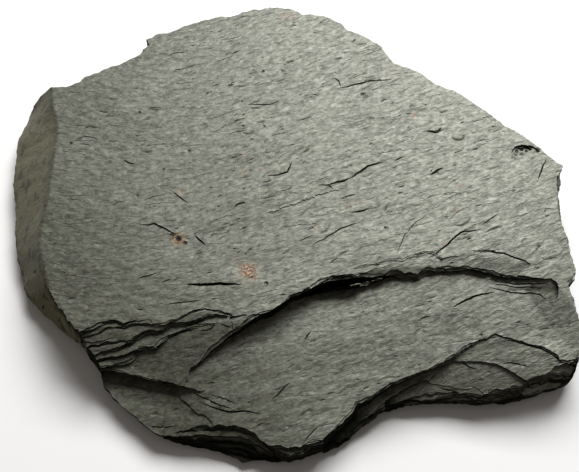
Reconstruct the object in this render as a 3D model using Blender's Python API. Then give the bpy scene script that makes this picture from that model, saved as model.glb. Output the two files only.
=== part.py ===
"""A slab of slate, one natural piece lying on its underside.

The slab is built the way slate breaks. A rough block comes first, a loft of thin beds that each
stand a little in or out of the wall, with a sloping facet down the left side. Flakes are then
broken off its top: each flake is an outline and a floor through three heights, and a ledge is
left wherever the floor lies below the bed around it. Last come the chips and cracks, and a gentle
swell and ripple of the cleaved faces.

Outlines are in millimetres, seen from above, +X right and +Y away from the broken front edge.
"""

import math

import bmesh
import bpy
from mathutils import Vector, noise

MM = 0.001

# Driving dimensions of the finished slab, in metres.
LENGTH = 0.2606
WIDTH = 0.234
THICKNESS = 0.025

# Heights in millimetres above the surface it lies on.
TOP = 24.0
GIRTH_HEIGHT = 8.0
BED_STEP = 3.0
BED_GAP = 0.6

# How far the beds stand in and out of the wall, and how that changes round it and upwards.
BED_RELIEF = 1.1
BED_INSET = 0.33
RELIEF_ROUND = 3.2
RELIEF_UP = 2.7
RELIEF_AT_GIRTH = 0.35
CHIP_SHARE = 0.6
CHIP_SCALE = 3.1
CHIP_SEED = Vector((9.0, 0.0, 0.0))

# How far the wall draws in below the girth on each side.
NECK_LEFT = 7.0
NECK_FRONT = 2.2
NECK_BACK = 2.5
NECK_TURN = math.radians(25.0)
NECK_CURVE = 1.5

# Stations round the wall: no two neighbours are further apart than this.
STATION_GAP = math.radians(3.4)
STATION_MERGE = math.radians(0.9)

# The cleaved faces: ripples run along this direction, rising to the right.
GRAIN_ANGLE = math.radians(18.0)
GRAIN_STEP = 7.0
CROSS_STEP = 13.0
SWELL_HEIGHT = 0.9
SWELL_LENGTH = 70.0
RIPPLE_HEIGHT = 0.45
RIPPLE_LENGTH = 15.0
RIPPLE_STRETCH = 3.0
SWELL_SEED = 4.0
RIPPLE_SEED = 7.0
SLICE_SHIFT = 0.37

CRACK_SIDES = 0
CRACK_END = 0.25
CRACK_RISE = 0.2
UPWARD = 0.5
MERGE = 1e-6

SLATE_COLOUR = (0.17, 0.18, 0.165)
SLATE_ROUGHNESS = 0.82

# The widest outline, clockwise: the back rim, the right edge, the front and the left facet's foot.
BACK_RIM = [
    (-128, 63.5), (-123.5, 65.5), (-119.5, 66.2), (-115, 65.8), (-110, 66.5), (-105, 68),
    (-103, 68.8), (-102, 70.7), (-99, 73.2), (-95, 74.7), (-92, 76.7), (-88, 79.5),
    (-83, 81), (-77, 86.5), (-75, 89), (-75, 95), (-68, 100.5), (-60, 103.5), (-55, 106.5),
    (-45, 110.5), (-35, 113.5), (-27, 114.5), (-20, 116.5), (-10, 119), (0, 118), (7, 114.5),
    (18, 113), (22, 111), (30, 104), (37, 99.5), (43, 94.5), (48, 89.5), (52, 80.5), (56, 78.5),
    (64, 76), (70, 68.5), (76, 65), (80, 64), (88, 57), (94, 51.5), (102, 43.5), (110, 36.5),
    (117, 29), (120, 26), (123, 22.3), (126.4, 18.8),
]
RIGHT_EDGE = [
    (125.6, 13), (124.5, 8), (123.6, 3), (122.8, -3.5), (123.1, -9), (123.7, -14.5), (124.7, -19.5),
    (124.8, -25), (124.4, -30), (123.8, -35), (122.6, -39.3), (120.7, -42.7), (120.9, -45),
    (121.7, -49), (122.1, -55), (122.3, -60), (122.6, -66), (122.6, -72),
]
FRONT_EDGE = [
    (121.2, -77), (119, -80.2), (116, -82.3), (110, -84), (103, -86), (95, -88), (88, -89),
    (80, -90), (72, -89), (65, -89), (58, -89.5), (50, -90), (43, -91.5), (38, -94), (33, -97.5),
    (28, -100.5), (25, -104), (20, -107), (12, -110.5), (5, -113), (0, -114.5), (-5, -113.5),
    (-12, -112.5), (-19, -113.5), (-24, -111), (-30, -109), (-40, -107), (-48, -105.5),
    (-55, -103), (-60, -100), (-63, -97), (-70, -92), (-75, -87), (-79, -82),
]
FACET_FOOT = [
    (-80.3, -77), (-84, -72), (-88.5, -66), (-92.5, -61.5), (-98, -58), (-105, -51.6),
    (-110, -47.4), (-113.5, -43.6), (-117, -40), (-119, -35.5), (-121.4, -28), (-123.8, -21.8),
    (-126.4, -12.5), (-127, -6), (-128, 0), (-129.5, 8), (-131.5, 15), (-132.5, 22),
    (-132.7, 30), (-133.3, 38), (-134, 44), (-132.4, 50), (-131, 55), (-130, 60),
]
GIRTH = BACK_RIM + RIGHT_EDGE + FRONT_EDGE + FACET_FOOT

# The facet's upper edge, from the front to the back corner.
FACET_RIDGE = [
    (-86.5, -68.5), (-91.7, -61.4), (-98.3, -52.2), (-104, -42), (-106, -35), (-110, -24),
    (-111, -15), (-110, -5), (-110, 10), (-110, 25), (-110, 40), (-112, 48), (-115, 55),
    (-116, 62),
]

# The lip of the great ledge, from its low left end to the right edge.
GREAT_LIP = [
    (-41, -77.5), (-37, -75), (-30.5, -69.3), (-25.5, -65), (-22, -63), (-17, -59.4), (-10, -55.5),
    (-5, -53), (0, -48.5), (8, -44.5), (14, -41), (20, -39), (28, -38), (37, -37.5), (45, -36),
    (50, -37.5), (56, -38), (60, -35.5), (67, -34.8), (72, -34.8), (78, -34.2),
]
SCOOP_LIP = [(82, -35.1), (90.7, -37.7), (99, -39.1), (107, -39.6), (112.4, -39.8)]
SCOOP_FOOT = [(114.3, -41), (115, -44), (111, -46), (103.6, -43.9), (95, -43.4), (86.7, -41)]

# The stairs at the lower left, one above the other, from the left edge to where they fade.
STAIR_1 = [
    (-98, -66), (-90, -65), (-84, -64.5), (-80, -63), (-73, -60.5), (-65, -59.5), (-58, -59.5),
    (-52, -58.5), (-45, -57), (-40, -55.5), (-36, -55),
]
STAIR_2 = [
    (-98, -70), (-83.5, -69.5), (-76.5, -68.5), (-66.5, -67), (-60.5, -64), (-55.5, -64),
    (-51, -61.5), (-42, -58),
]
STAIR_3 = [
    (-98, -74), (-82, -73), (-75, -71.5), (-69, -69.5), (-63, -66), (-58, -64), (-51.5, -63.5),
    (-48.5, -60.5), (-45.5, -60), (-35, -62), (-30, -61), (-22, -59.5), (-15, -58.5),
]
STAIR_4 = [
    (-98, -77), (-80.5, -76), (-73.5, -75), (-67.5, -72.5), (-64, -70), (-56, -68.5),
    (-51, -68), (-48, -64.5), (-44, -62.5), (-36, -64.5), (-30, -63.5), (-24, -62), (-19, -61),
    (-14, -66),
]
WEDGE_LIP = [
    (-98, -80), (-81, -79), (-74, -78.5), (-66, -79.5), (-57, -82), (-50, -84), (-43, -86.5),
    (-37, -88), (-33, -88.5),
]
STAIRS_BELOW = [(-20, -90), (-98, -90)]

# The low shelf at the lower right, under the middle bed.
SHELF_LIP = [
    (14, -108), (18, -104.5), (22, -101), (26, -97), (28, -93), (34, -91), (38, -88), (42, -85),
    (46, -83.5), (52, -81), (58, -78.5), (64, -76), (69, -73.5), (72, -71), (76, -68.5),
    (79.5, -67), (86.5, -64), (90.5, -65.8), (95, -67), (100, -68), (107.5, -70.5), (112, -73.7),
    (114.5, -76.8), (119, -77.4), (130, -77.5),
]
SHELF_STEP = [
    (69.5, -73.6), (78.5, -74.4), (84.5, -75.1), (90.5, -76.4), (94.5, -80), (98, -83.3),
    (101.5, -84.8), (106, -96),
]
SHELF_CHIP = [
    (50, -83), (57, -80), (63, -83), (66, -82.5), (70, -84.5), (75, -85.5), (77, -84),
    (80, -87.5), (82, -95),
]

# The front corner under the shelf, and the hollow in the front edge further left.
CORNER_LEDGE = [
    (108, -81.1), (109.7, -78.7), (113.7, -77.8), (119, -77.4), (130, -77.4), (130, -92),
    (104, -92), (102, -85), (105.5, -83.2),
]
CORNER_BREAK = [
    (80, -92), (84.3, -90), (87.3, -89.4), (91.4, -88.4), (95.7, -87.3), (99.3, -85.1),
    (102.6, -84), (108.2, -82.8), (113.3, -82.5), (118, -82), (130, -81.5), (130, -102),
    (80, -102),
]
FRONT_HOLLOW = [
    (-52, -104.5), (-49.5, -103), (-42.5, -103.4), (-36.4, -102.7), (-31.5, -103), (-25.7, -102.9),
    (-20, -103.2), (-15.1, -104.9), (-11.8, -107.7), (-8.6, -110.6), (-4, -112.8), (0, -120),
    (-52, -120),
]
HOLLOW_STEP = [
    (-49, -107), (-44, -105.8), (-38, -105.6), (-33, -106.4), (-27, -105.4), (-21, -106.2),
    (-16, -108), (-12, -111.4), (-7, -115), (-7, -120), (-50, -120),
]

# The bed below the great lip bends: its folds part the left, middle and right floors, and the
# floors overlap a little there so that no blade of stone is left between them.
FOLD_OVERLAP = 0.5
BED_LIP = GREAT_LIP[:9] + [
    (8, -45), (13, -44), (19, -43), (26, -42), (33, -40.6), (38, -38.6),
] + GREAT_LIP[14:]
BED_FOLD_LEFT = [(8, -45), (-6, -60), (-24, -80), (-37, -94), (-44, -102)]
BED_FOLD_RIGHT = [(82, -40.6), (97, -46.9), (112, -53.1), (131, -61), (140, -64.7)]

# Flakes broken off the top: outline, then the floor as three points (x, y, height).
FLAKES = {
    "stair_1": (
        STAIR_1 + [(-32, -62), (-32, -90), (-98, -90)],
        [(-36, -55, 24.0), (-32, -62, 24.0), (-85, -66, 20.0)],
    ),
    "stair_2": (
        STAIR_2 + [(-38, -64), (-38, -90), (-98, -90)],
        [(-42, -58, 23.0), (-38, -64, 23.0), (-82, -71, 18.0)],
    ),
    "stair_3": (STAIR_3 + STAIRS_BELOW, [(-80, -74, 16.8), (-15, -58, 23.0), (-40, -76, 17.2)]),
    "stair_4": (
        STAIR_4[:7] + [(-49.6, -66.4), (-41, -77), (-30, -90), (-98, -90)],
        [(-78, -77, 14.6), (-41, -77, 14.8), (-48, -66, 15.6)],
    ),
    "stair_ramp": (
        STAIR_4[7:] + [(-20, -90), (-30.8, -90), (-41.8, -77), (-50, -67)],
        [(-41, -77, 14.8), (-22, -64, 20.0), (-50, -66, 15.6)],
    ),
    "bed_left": (
        BED_LIP[:10] + BED_FOLD_LEFT[1:] + [(-46, -98), (-44, -87)],
        [(-41, -77, 15.2), (-20, -66, 15.2), (-40, -94, 12.8)],
    ),
    "middle_bed": (
        BED_LIP[9:] + [(82, -35.5)] + BED_FOLD_RIGHT + [(140, -135), (-44, -135)]
        + [(x - FOLD_OVERLAP, y) for x, y in BED_FOLD_LEFT[:0:-1]],
        [(0, -50, 15.6), (112, -45, 21.2), (0, -114, 13.8)],
    ),
    "bed_right": (
        SCOOP_LIP + [(113, -38.2), (120, -40), (140, -48)]
        + [(x, y - FOLD_OVERLAP) for x, y in BED_FOLD_RIGHT[::-1]],
        [(112, -38.5, 24.0), (131, -49.8, 24.0), (97, -46, 20.6)],
    ),
    "mid_lamina": (
        GREAT_LIP[8:16] + [(38, -40), (33, -43), (19, -46), (6, -48)],
        [(5, -46, 20.2), (38, -38, 21.8), (20, -42, 19.7)],
    ),
    "scoop": (
        GREAT_LIP[-2:] + SCOOP_LIP + SCOOP_FOOT + [(80, -38.5)],
        [(82, -35.1, 22.9), (112.4, -39.8, 23.1), (99, -43.9, 20.3)],
    ),
    "low_front": (
        WEDGE_LIP[:-2] + [
            (-40, -88.5), (-45.5, -89.7), (-43.5, -92), (-40, -94), (-38, -96.5), (-34, -98.5),
            (-30, -104), (-30, -135), (-98, -135),
        ],
        [(-74, -80, 9.4), (-60, -100, 8.2), (-40, -94, 11.6)],
    ),
    "front_hollow": (FRONT_HOLLOW, [(-42, -104, 8.0), (-20, -104, 9.4), (-25, -113, 3.6)]),
    "hollow_step": (HOLLOW_STEP, [(-42, -106, 6.0), (-20, -106, 7.4), (-25, -113, 3.4)]),
    "shelf": (
        SHELF_LIP + [(140, -77), (140, -135), (14, -135)],
        [(60, -80, 13.4), (88, -62, 19.3), (112, -78, 19.1)],
    ),
    "shelf_step": (
        SHELF_STEP + [(60, -100), (58, -82), (64, -76)],
        [(72, -74, 14.8), (96, -84, 14.6), (80, -89, 11.8)],
    ),
    "shelf_chip": (
        SHELF_CHIP + [(40, -100), (40, -90)],
        [(57, -81, 11.2), (76, -85, 10.4), (60, -90, 8.8)],
    ),
    "corner_ledge": (CORNER_LEDGE, [(105, -83, 16.4), (118, -78, 17.6), (112, -85, 15.6)]),
    "corner_break": (CORNER_BREAK, [(100, -85, 9.6), (118, -82, 9.8), (100, -91, 4.0)]),
    "sheet_1": (
        [(28, -34.5), (35, -33.5), (43, -31), (50, -30.5), (55, -27.5), (60, -27), (66, -30),
         (66, -40), (28, -41)],
        [(28, -35, 23.7), (60, -27, 23.4), (50, -38, 22.9)],
    ),
    "sheet_2": (
        [(30, -37), (40, -33), (50, -32), (57, -31.5), (62, -33), (66, -33), (66, -40),
         (30, -41)],
        [(30, -37, 22.8), (66, -33, 22.8), (50, -38, 21.8)],
    ),
    "sheet_3": (
        [(65, -30), (73, -28.5), (80, -26.5), (88, -27), (95, -28.5), (104, -33), (96, -40),
         (65, -40)],
        [(65, -30, 23.3), (100, -32, 23.9), (80, -37, 22.6)],
    ),
    "hollow": (
        [(102, 18), (103.5, 26), (105.2, 29.7), (109, 31), (113.5, 30), (117, 27.5), (115.5, 25),
         (110, 22), (106, 18)],
        [(103, 20, 23.6), (110, 30, 23.0), (114, 22, 23.9)],
    ),
    "hollow_pit": (
        [(104.5, 26), (107, 29.7), (112, 29.8), (114, 28.5), (110, 26.5), (107, 24.5)],
        [(105, 25, 22.9), (112, 29.5, 22.3), (108, 24, 22.9)],
    ),
    "back_notch": (
        [(-80, 90), (-74, 89), (-71, 93), (-72, 97), (-80, 97)],
        [(-80, 90, 18.0), (-71, 93, 21.0), (-76, 97, 18.0)],
    ),
    "right_bevel": (
        [(126.2, 18), (123.6, 13), (122, 6), (120.7, -4), (121.4, -11), (123, -19), (124.4, -27),
         (140, -30), (140, 18)],
        [(121.5, 3, 22.8), (121.5, -20, 23.4), (124, 3, 21.0)],
    ),
}

# Beds lost from the underside near its edges, which leave the rest of it flat.
UNDERSIDE = {
    "lower_left_lift": (
        [(-140, 20), (-122, 14), (-112, -16), (-98, -38), (-74, -62), (-52, -86), (-44, -130),
         (-140, -130)],
        [(-118, 0, 1.6), (-70, -70, 1.6), (-100, -55, 4.4)],
    ),
    "front_lift": (
        [(40, -135), (46, -86), (60, -80), (84, -80), (102, -74), (112, -60), (140, -58),
         (140, -135)],
        [(60, -80, 1.2), (110, -62, 1.2), (100, -86, 2.6)],
    ),
    "back_lift": (
        [(-30, 140), (-24, 108), (0, 104), (26, 96), (50, 76), (74, 60), (130, 60), (130, 140)],
        [(0, 104, 1.2), (60, 70, 1.2), (40, 100, 2.8)],
    ),
}

# Cracks and slits: points (x, y, height), then the half width.
CRACKS = {
    "long_slit": ([(-44, -42.5, 24), (-38, -42.8, 24), (-30, -42.2, 24), (-21, -42.5, 24)], 1.1),
    "middle_streak": ([(18, 9, 24), (27, 12, 24), (33, 16, 24), (36, 19, 24), (43, 21, 24)], 1.0),
    "ledge_crack": ([(61, -29, 24), (68, -24, 24), (76, -16.5, 24), (85, -15.5, 24)], 0.9),
    "rust_pocket": ([(-57, -15, 24), (-51, -19, 24), (-46, -21, 24), (-41, -24, 24)], 2.0),
    "small_slit": ([(-11, 13.5, 24), (-5, 14.2, 24), (1, 16, 24)], 0.8),
    "right_pit": ([(64, 39.5, 24), (68, 38.5, 24), (73, 41, 24)], 1.1),
    "back_line": ([(24, 64.5, 24), (32, 67, 24), (42, 69.6, 24), (52, 70, 24)], 0.8),
    "bed_crack": ([(70, -51, 19.0), (76, -47.5, 19.4), (88, -44, 20.0)], 0.9),
}


def clear_scene():
    """Remove whatever the scene holds."""
    for thing in list(bpy.data.objects):
        bpy.data.objects.remove(thing, do_unlink=True)


def make_collection(name, helper=False):
    """A collection in the scene; a helper one is left out of renders."""
    collection = bpy.data.collections.new(name)
    bpy.context.scene.collection.children.link(collection)
    collection.hide_render = helper
    return collection


def make_material(name, colour, roughness):
    """A plain stone material."""
    material = bpy.data.materials.new(name)
    material.use_nodes = True
    shader = material.node_tree.nodes["Principled BSDF"]
    shader.inputs["Base Color"].default_value = (*colour, 1.0)
    shader.inputs["Roughness"].default_value = roughness
    shader.inputs["Metallic"].default_value = 0.0
    return material


def reach(outline, angle):
    """How far a closed outline lies from the middle, in one direction."""
    way = Vector((math.cos(angle), math.sin(angle)))
    side = Vector((-way.y, way.x))
    best = None
    for start, end in zip(outline, outline[1:] + outline[:1]):
        a, b = Vector(start), Vector(end)
        across_a, across_b = a.dot(side), b.dot(side)
        if across_a * across_b > 0 or across_a == across_b:
            continue
        share = across_a / (across_a - across_b)
        along = (a + (b - a) * share).dot(way)
        if along > 0 and (best is None or along > best):
            best = along
    return best


def angle_of(point):
    return math.atan2(point[1], point[0]) % math.tau


def crest_outline():
    """The girth, with the left side drawn in to the facet's ridge."""
    return BACK_RIM[3:] + RIGHT_EDGE + FRONT_EDGE + FACET_RIDGE


def stations():
    """Directions round the wall: one at each outline point, and more where they lie far apart."""
    wanted = sorted({angle_of(point) for point in GIRTH + FACET_RIDGE})
    kept = [wanted[0]]
    for angle in wanted[1:]:
        if angle - kept[-1] > STATION_MERGE:
            kept.append(angle)
    angles = []
    for start, end in zip(kept, kept[1:] + [kept[0] + math.tau]):
        pieces = max(1, math.ceil((end - start) / STATION_GAP))
        angles += [start + (end - start) * i / pieces for i in range(pieces)]
    return angles


def neck(angle):
    """How far the base lies inside the girth, in one direction."""
    left = max(0.0, -math.cos(angle - NECK_TURN))
    front = max(0.0, -math.sin(angle))
    return NECK_BACK + (NECK_LEFT - NECK_BACK) * left ** 2 + (NECK_FRONT - NECK_BACK) * front ** 2


def bed_heights():
    """Pairs of heights, the bottom and top of each bed in the wall."""
    count = round(TOP / BED_STEP)
    levels = [TOP * i / count for i in range(count + 1)]
    heights = []
    for i, (low, high) in enumerate(zip(levels, levels[1:])):
        bottom = low if i == 0 else low + BED_GAP / 2
        top = high if i == count - 1 else high - BED_GAP / 2
        heights += [(i, bottom), (i, top)]
    return heights


def wall_radius(angle, bed, height, girth, crest):
    """The wall's distance from the middle: the outline there, plus how far this bed stands out."""
    if height <= GIRTH_HEIGHT:
        base = girth - neck(angle) * (1 - height / GIRTH_HEIGHT) ** NECK_CURVE
    else:
        base = girth + (crest - girth) * (height - GIRTH_HEIGHT) / (TOP - GIRTH_HEIGHT)
    round_wall = Vector((math.cos(angle), math.sin(angle), 0.0)) * RELIEF_ROUND
    where = round_wall + Vector((0.0, 0.0, RELIEF_UP * bed))
    chip = noise.noise(where * CHIP_SCALE + CHIP_SEED)
    relief = BED_RELIEF * (noise.noise(where) + CHIP_SHARE * chip)
    held = min(1.0, abs(height - GIRTH_HEIGHT) / BED_STEP, (TOP + BED_STEP / 4 - height) / BED_STEP)
    return base + relief * (RELIEF_AT_GIRTH + (1 - RELIEF_AT_GIRTH) * held) - BED_INSET


def make_block(collection, material):
    """The unbroken block: rings of wall joined bed by bed, closed above and below."""
    angles = stations()
    crest_line = crest_outline()
    girths = [reach(GIRTH, angle) for angle in angles]
    crests = [reach(crest_line, angle) for angle in angles]
    mesh = bmesh.new()
    rings = []
    for bed, height in bed_heights():
        ring = []
        for angle, girth, crest in zip(angles, girths, crests):
            radius = wall_radius(angle, bed, height, girth, crest)
            corner = Vector((radius * math.cos(angle), radius * math.sin(angle), height))
            ring.append(mesh.verts.new(corner * MM))
        rings.append(ring)
    count = len(angles)
    for low, high in zip(rings, rings[1:]):
        for i in range(count):
            j = (i + 1) % count
            mesh.faces.new((low[i], low[j], high[j], high[i]))
    mesh.faces.new(rings[0][::-1])
    mesh.faces.new(rings[-1])
    data = bpy.data.meshes.new("slate_slab")
    mesh.to_mesh(data)
    mesh.free()
    data.materials.append(material)
    block = bpy.data.objects.new("slate_slab", data)
    collection.objects.link(block)
    return block


def plane_through(points):
    """Height above any (x, y) of the plane through three points."""
    a, b, c = (Vector(point) for point in points)
    normal = (b - a).cross(c - a)
    return lambda x, y: a.z - (normal.x * (x - a.x) + normal.y * (y - a.y)) / normal.z


def mesh_from_curve(curve, collection):
    """The curve object as a closed mesh, which takes its place."""
    bpy.context.view_layer.update()
    graph = bpy.context.evaluated_depsgraph_get()
    data = bpy.data.meshes.new_from_object(curve.evaluated_get(graph))
    mesh = bmesh.new()
    mesh.from_mesh(data)
    bmesh.ops.remove_doubles(mesh, verts=mesh.verts, dist=MERGE)
    bmesh.ops.recalc_face_normals(mesh, faces=mesh.faces)
    mesh.to_mesh(data)
    mesh.free()
    solid = bpy.data.objects.new(curve.name + "_cutter", data)
    solid.matrix_world = curve.matrix_world
    solid.hide_render = True
    solid.display_type = "WIRE"
    collection.objects.link(solid)
    bpy.data.objects.remove(curve, do_unlink=True)
    return solid


def flat_outline(name, outline, low, high, collection):
    """A closed flat outline, thickened between two heights."""
    data = bpy.data.curves.new(name, "CURVE")
    data.dimensions = "2D"
    data.fill_mode = "BOTH"
    data.extrude = (high - low) / 2 * MM
    spline = data.splines.new("POLY")
    spline.points.add(len(outline) - 1)
    for point, (x, y) in zip(spline.points, outline):
        point.co = (x * MM, y * MM, 0.0, 1.0)
    spline.use_cyclic_u = True
    curve = bpy.data.objects.new(name, data)
    curve.location.z = (low + high) / 2 * MM
    collection.objects.link(curve)
    return mesh_from_curve(curve, collection)


def flake_cutter(name, outline, floor, collection):
    """What a flake takes away: everything over its tilted floor."""
    cutter = flat_outline(name, outline, 0.0, 2 * TOP, collection)
    height = plane_through(floor)
    for vertex in cutter.data.vertices:
        if vertex.co.z < 0:
            vertex.co.z = height(vertex.co.x / MM, vertex.co.y / MM) * MM - cutter.location.z
    return cutter


def underside_cutter(name, outline, roof, collection):
    """What is missing under a lifted edge: everything below its tilted roof."""
    cutter = flat_outline(name, outline, -TOP, 0.0, collection)
    height = plane_through(roof)
    for vertex in cutter.data.vertices:
        if vertex.co.z > 0:
            vertex.co.z = height(vertex.co.x / MM, vertex.co.y / MM) * MM - cutter.location.z
    return cutter


def crack_cutter(name, path, half_width, collection):
    """A thin tapering rod, half sunk in the face that it cracks."""
    data = bpy.data.curves.new(name, "CURVE")
    data.dimensions = "3D"
    data.bevel_depth = half_width * MM
    data.bevel_resolution = CRACK_SIDES
    data.use_fill_caps = True
    spline = data.splines.new("POLY")
    spline.points.add(len(path) - 1)
    for i, (point, (x, y, height)) in enumerate(zip(spline.points, path)):
        point.co = (x * MM, y * MM, (height + CRACK_RISE) * MM, 1.0)
        point.radius = CRACK_END if i in (0, len(path) - 1) else 1.0
    curve = bpy.data.objects.new(name, data)
    collection.objects.link(curve)
    return mesh_from_curve(curve, collection)


def cut(block, cutters):
    """Take every cutter out of the block, one Boolean at a time, and keep the result as its mesh."""
    for cutter in cutters:
        modifier = block.modifiers.new(cutter.name, "BOOLEAN")
        modifier.operation = "DIFFERENCE"
        modifier.solver = "EXACT"
        modifier.object = cutter
    bpy.context.view_layer.update()
    graph = bpy.context.evaluated_depsgraph_get()
    data = bpy.data.meshes.new_from_object(block.evaluated_get(graph))
    block.modifiers.clear()
    before = block.data
    block.data = data
    bpy.data.meshes.remove(before)


def face_swell(x, y):
    """How far the cleaved faces rise or fall at (x, y), in millimetres."""
    along = x * math.cos(GRAIN_ANGLE) + y * math.sin(GRAIN_ANGLE)
    across = y * math.cos(GRAIN_ANGLE) - x * math.sin(GRAIN_ANGLE)
    swell = noise.noise(Vector((x / SWELL_LENGTH, y / SWELL_LENGTH, SWELL_SEED)))
    lengthwise = along / (RIPPLE_STRETCH * RIPPLE_LENGTH)
    ripple = noise.noise(Vector((lengthwise, across / RIPPLE_LENGTH, RIPPLE_SEED)))
    return SWELL_HEIGHT * swell + RIPPLE_HEIGHT * ripple


def slice_faces(mesh, direction, step):
    """Divide the upward faces along parallel lines, so that they can follow the swell."""
    reach_out = math.ceil(LENGTH / MM / step)
    for i in range(-reach_out, reach_out + 1):
        faces = [face for face in mesh.faces if face.normal.z > UPWARD]
        edges = {edge for face in faces for edge in face.edges}
        corners = {vertex for face in faces for vertex in face.verts}
        bmesh.ops.bisect_plane(
            mesh,
            geom=faces + list(edges) + list(corners),
            dist=MERGE,
            plane_co=direction * (i + SLICE_SHIFT) * step * MM,
            plane_no=direction,
        )


def shape_faces(block):
    """Give the cleaved faces their swell, none at the base and all of it from mid height up."""
    mesh = bmesh.new()
    mesh.from_mesh(block.data)
    mesh.normal_update()
    across = Vector((-math.sin(GRAIN_ANGLE), math.cos(GRAIN_ANGLE), 0.0))
    along = Vector((math.cos(GRAIN_ANGLE), math.sin(GRAIN_ANGLE), 0.0))
    slice_faces(mesh, across, GRAIN_STEP)
    slice_faces(mesh, along, CROSS_STEP)
    for vertex in mesh.verts:
        share = min(1.0, vertex.co.z / MM / GIRTH_HEIGHT)
        vertex.co.z += face_swell(vertex.co.x / MM, vertex.co.y / MM) * share * MM
    bmesh.ops.remove_doubles(mesh, verts=mesh.verts, dist=MERGE)
    bmesh.ops.dissolve_degenerate(mesh, edges=mesh.edges, dist=MERGE)
    bmesh.ops.triangulate(mesh, faces=mesh.faces)
    mesh.to_mesh(block.data)
    mesh.free()


def fit_to_size(block):
    """Bring the slab to its driving dimensions, with the origin under the middle of its box."""
    points = [vertex.co.copy() for vertex in block.data.vertices]
    low = Vector(min(point[i] for point in points) for i in range(3))
    high = Vector(max(point[i] for point in points) for i in range(3))
    middle = (low + high) / 2
    scale = [size / (high[i] - low[i]) for i, size in enumerate((LENGTH, WIDTH, THICKNESS))]
    for vertex in block.data.vertices:
        vertex.co.x = (vertex.co.x - middle.x) * scale[0]
        vertex.co.y = (vertex.co.y - middle.y) * scale[1]
        vertex.co.z = (vertex.co.z - low.z) * scale[2]


def main():
    clear_scene()
    parts = make_collection("slate_slab")
    helpers = make_collection("cutters", helper=True)
    slate = make_material("slate_grey_green", SLATE_COLOUR, SLATE_ROUGHNESS)
    block = make_block(parts, slate)
    cutters = [flake_cutter(name, *flake, helpers) for name, flake in FLAKES.items()]
    cutters += [underside_cutter(name, *lift, helpers) for name, lift in UNDERSIDE.items()]
    cutters += [crack_cutter(name, *crack, helpers) for name, crack in CRACKS.items()]
    cut(block, cutters)
    shape_faces(block)
    fit_to_size(block)


main()
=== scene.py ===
"""A slab of slate in window light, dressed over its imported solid.

The slab's mesh is made the way the stone broke. A flat pattern of fine triangles is drawn inside
the widest outline, with the edges of every flake scar in it. Each triangle then takes its height
from the lowest floor that it belongs to, and where two floors differ a wall of thin beds joins
them. Grain, cracks, pits and rust follow. Outlines are in millimetres, seen from above.
"""

import math
import random

import bpy
import numpy as np
from mathutils import Matrix, Vector, noise
from mathutils.geometry import delaunay_2d_cdt
from mathutils.kdtree import KDTree


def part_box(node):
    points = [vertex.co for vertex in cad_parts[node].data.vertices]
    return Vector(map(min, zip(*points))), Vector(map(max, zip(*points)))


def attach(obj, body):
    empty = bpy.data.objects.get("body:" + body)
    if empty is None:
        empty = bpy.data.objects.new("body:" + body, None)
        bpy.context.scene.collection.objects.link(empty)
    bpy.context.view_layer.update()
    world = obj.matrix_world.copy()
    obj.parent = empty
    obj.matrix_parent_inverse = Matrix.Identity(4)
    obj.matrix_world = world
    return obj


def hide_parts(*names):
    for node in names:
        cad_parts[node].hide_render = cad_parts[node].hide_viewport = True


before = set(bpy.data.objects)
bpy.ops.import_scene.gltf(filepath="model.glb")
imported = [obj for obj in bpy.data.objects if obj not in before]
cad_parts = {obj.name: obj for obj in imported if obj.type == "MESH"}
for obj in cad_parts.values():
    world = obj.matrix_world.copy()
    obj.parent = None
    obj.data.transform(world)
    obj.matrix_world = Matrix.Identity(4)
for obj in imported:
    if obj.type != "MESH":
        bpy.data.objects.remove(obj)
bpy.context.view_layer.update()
NODE = "slate_slab"
MM = 0.001

# Heights in millimetres above the surface it lies on, as in the solid.
TOP = 24.0
GIRTH_HEIGHT = 8.0
NECK_LEFT = 7.0
NECK_FRONT = 2.2
NECK_BACK = 2.5

# The cleaved faces: ripples run along this direction, rising to the right.
GRAIN_ANGLE = math.radians(18.0)
SWELL_HEIGHT = 0.9
SWELL_LENGTH = 70.0
RIPPLE_HEIGHT = 0.45
RIPPLE_LENGTH = 15.0

# How fine the mesh is.
FACE_STEP = 1.12
EDGE_STEP = 0.62
GIRTH_STEP = 0.8
UNDER_STEP = 3.2
CLEAR_OF_LINES = 0.55
BED_GAPS = (0.7, 1.7)
CRACK_WANDER = 0.32

# A point's place and its height share one whole number: heights count in these steps.
STEPS_PER_MM = 1e4
PLACE_STRIDE = 10**7

# How far the outer walls lean in above this height, at the front and elsewhere.
LEAN_FROM = 6.0
LEAN_FRONT = 2.2
LEAN_SIDES = 0.0
LEAN_STRIP = 12.0

# ---------------------------------------------------------------- outlines

BACK_RIM = [
    (-128, 63.5), (-123.5, 65.5), (-119.5, 66.2), (-115, 65.8), (-110, 66.5), (-105, 68),
    (-103, 68.8), (-102, 70.7), (-99, 73.2), (-95, 74.7), (-92, 76.7), (-88, 79.5),
    (-83, 81), (-77, 86.5), (-75, 89), (-75, 95), (-68, 100.5), (-60, 103.5), (-55, 106.5),
    (-45, 110.5), (-35, 113.5), (-27, 114.5), (-20, 116.5), (-10, 119), (0, 118), (7, 114.5),
    (18, 113), (22, 111), (30, 104), (37, 99.5), (43, 94.5), (48, 89.5), (52, 80.5), (56, 78.5),
    (64, 76), (70, 68.5), (76, 65), (80, 64), (88, 57), (94, 51.5), (102, 43.5), (110, 36.5),
    (117, 29), (120, 26), (123, 22.3), (126.4, 18.8),
]
RIGHT_EDGE = [
    (125.6, 13), (124.5, 8), (123.6, 3), (122.8, -3.5), (123.1, -9), (123.7, -14.5), (124.7, -19.5),
    (124.8, -25), (124.4, -30), (123.8, -35), (122.6, -39.3), (120.7, -42.7), (120.9, -45),
    (121.7, -49), (122.1, -55), (122.3, -60), (122.6, -66), (122.6, -72),
]
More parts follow.
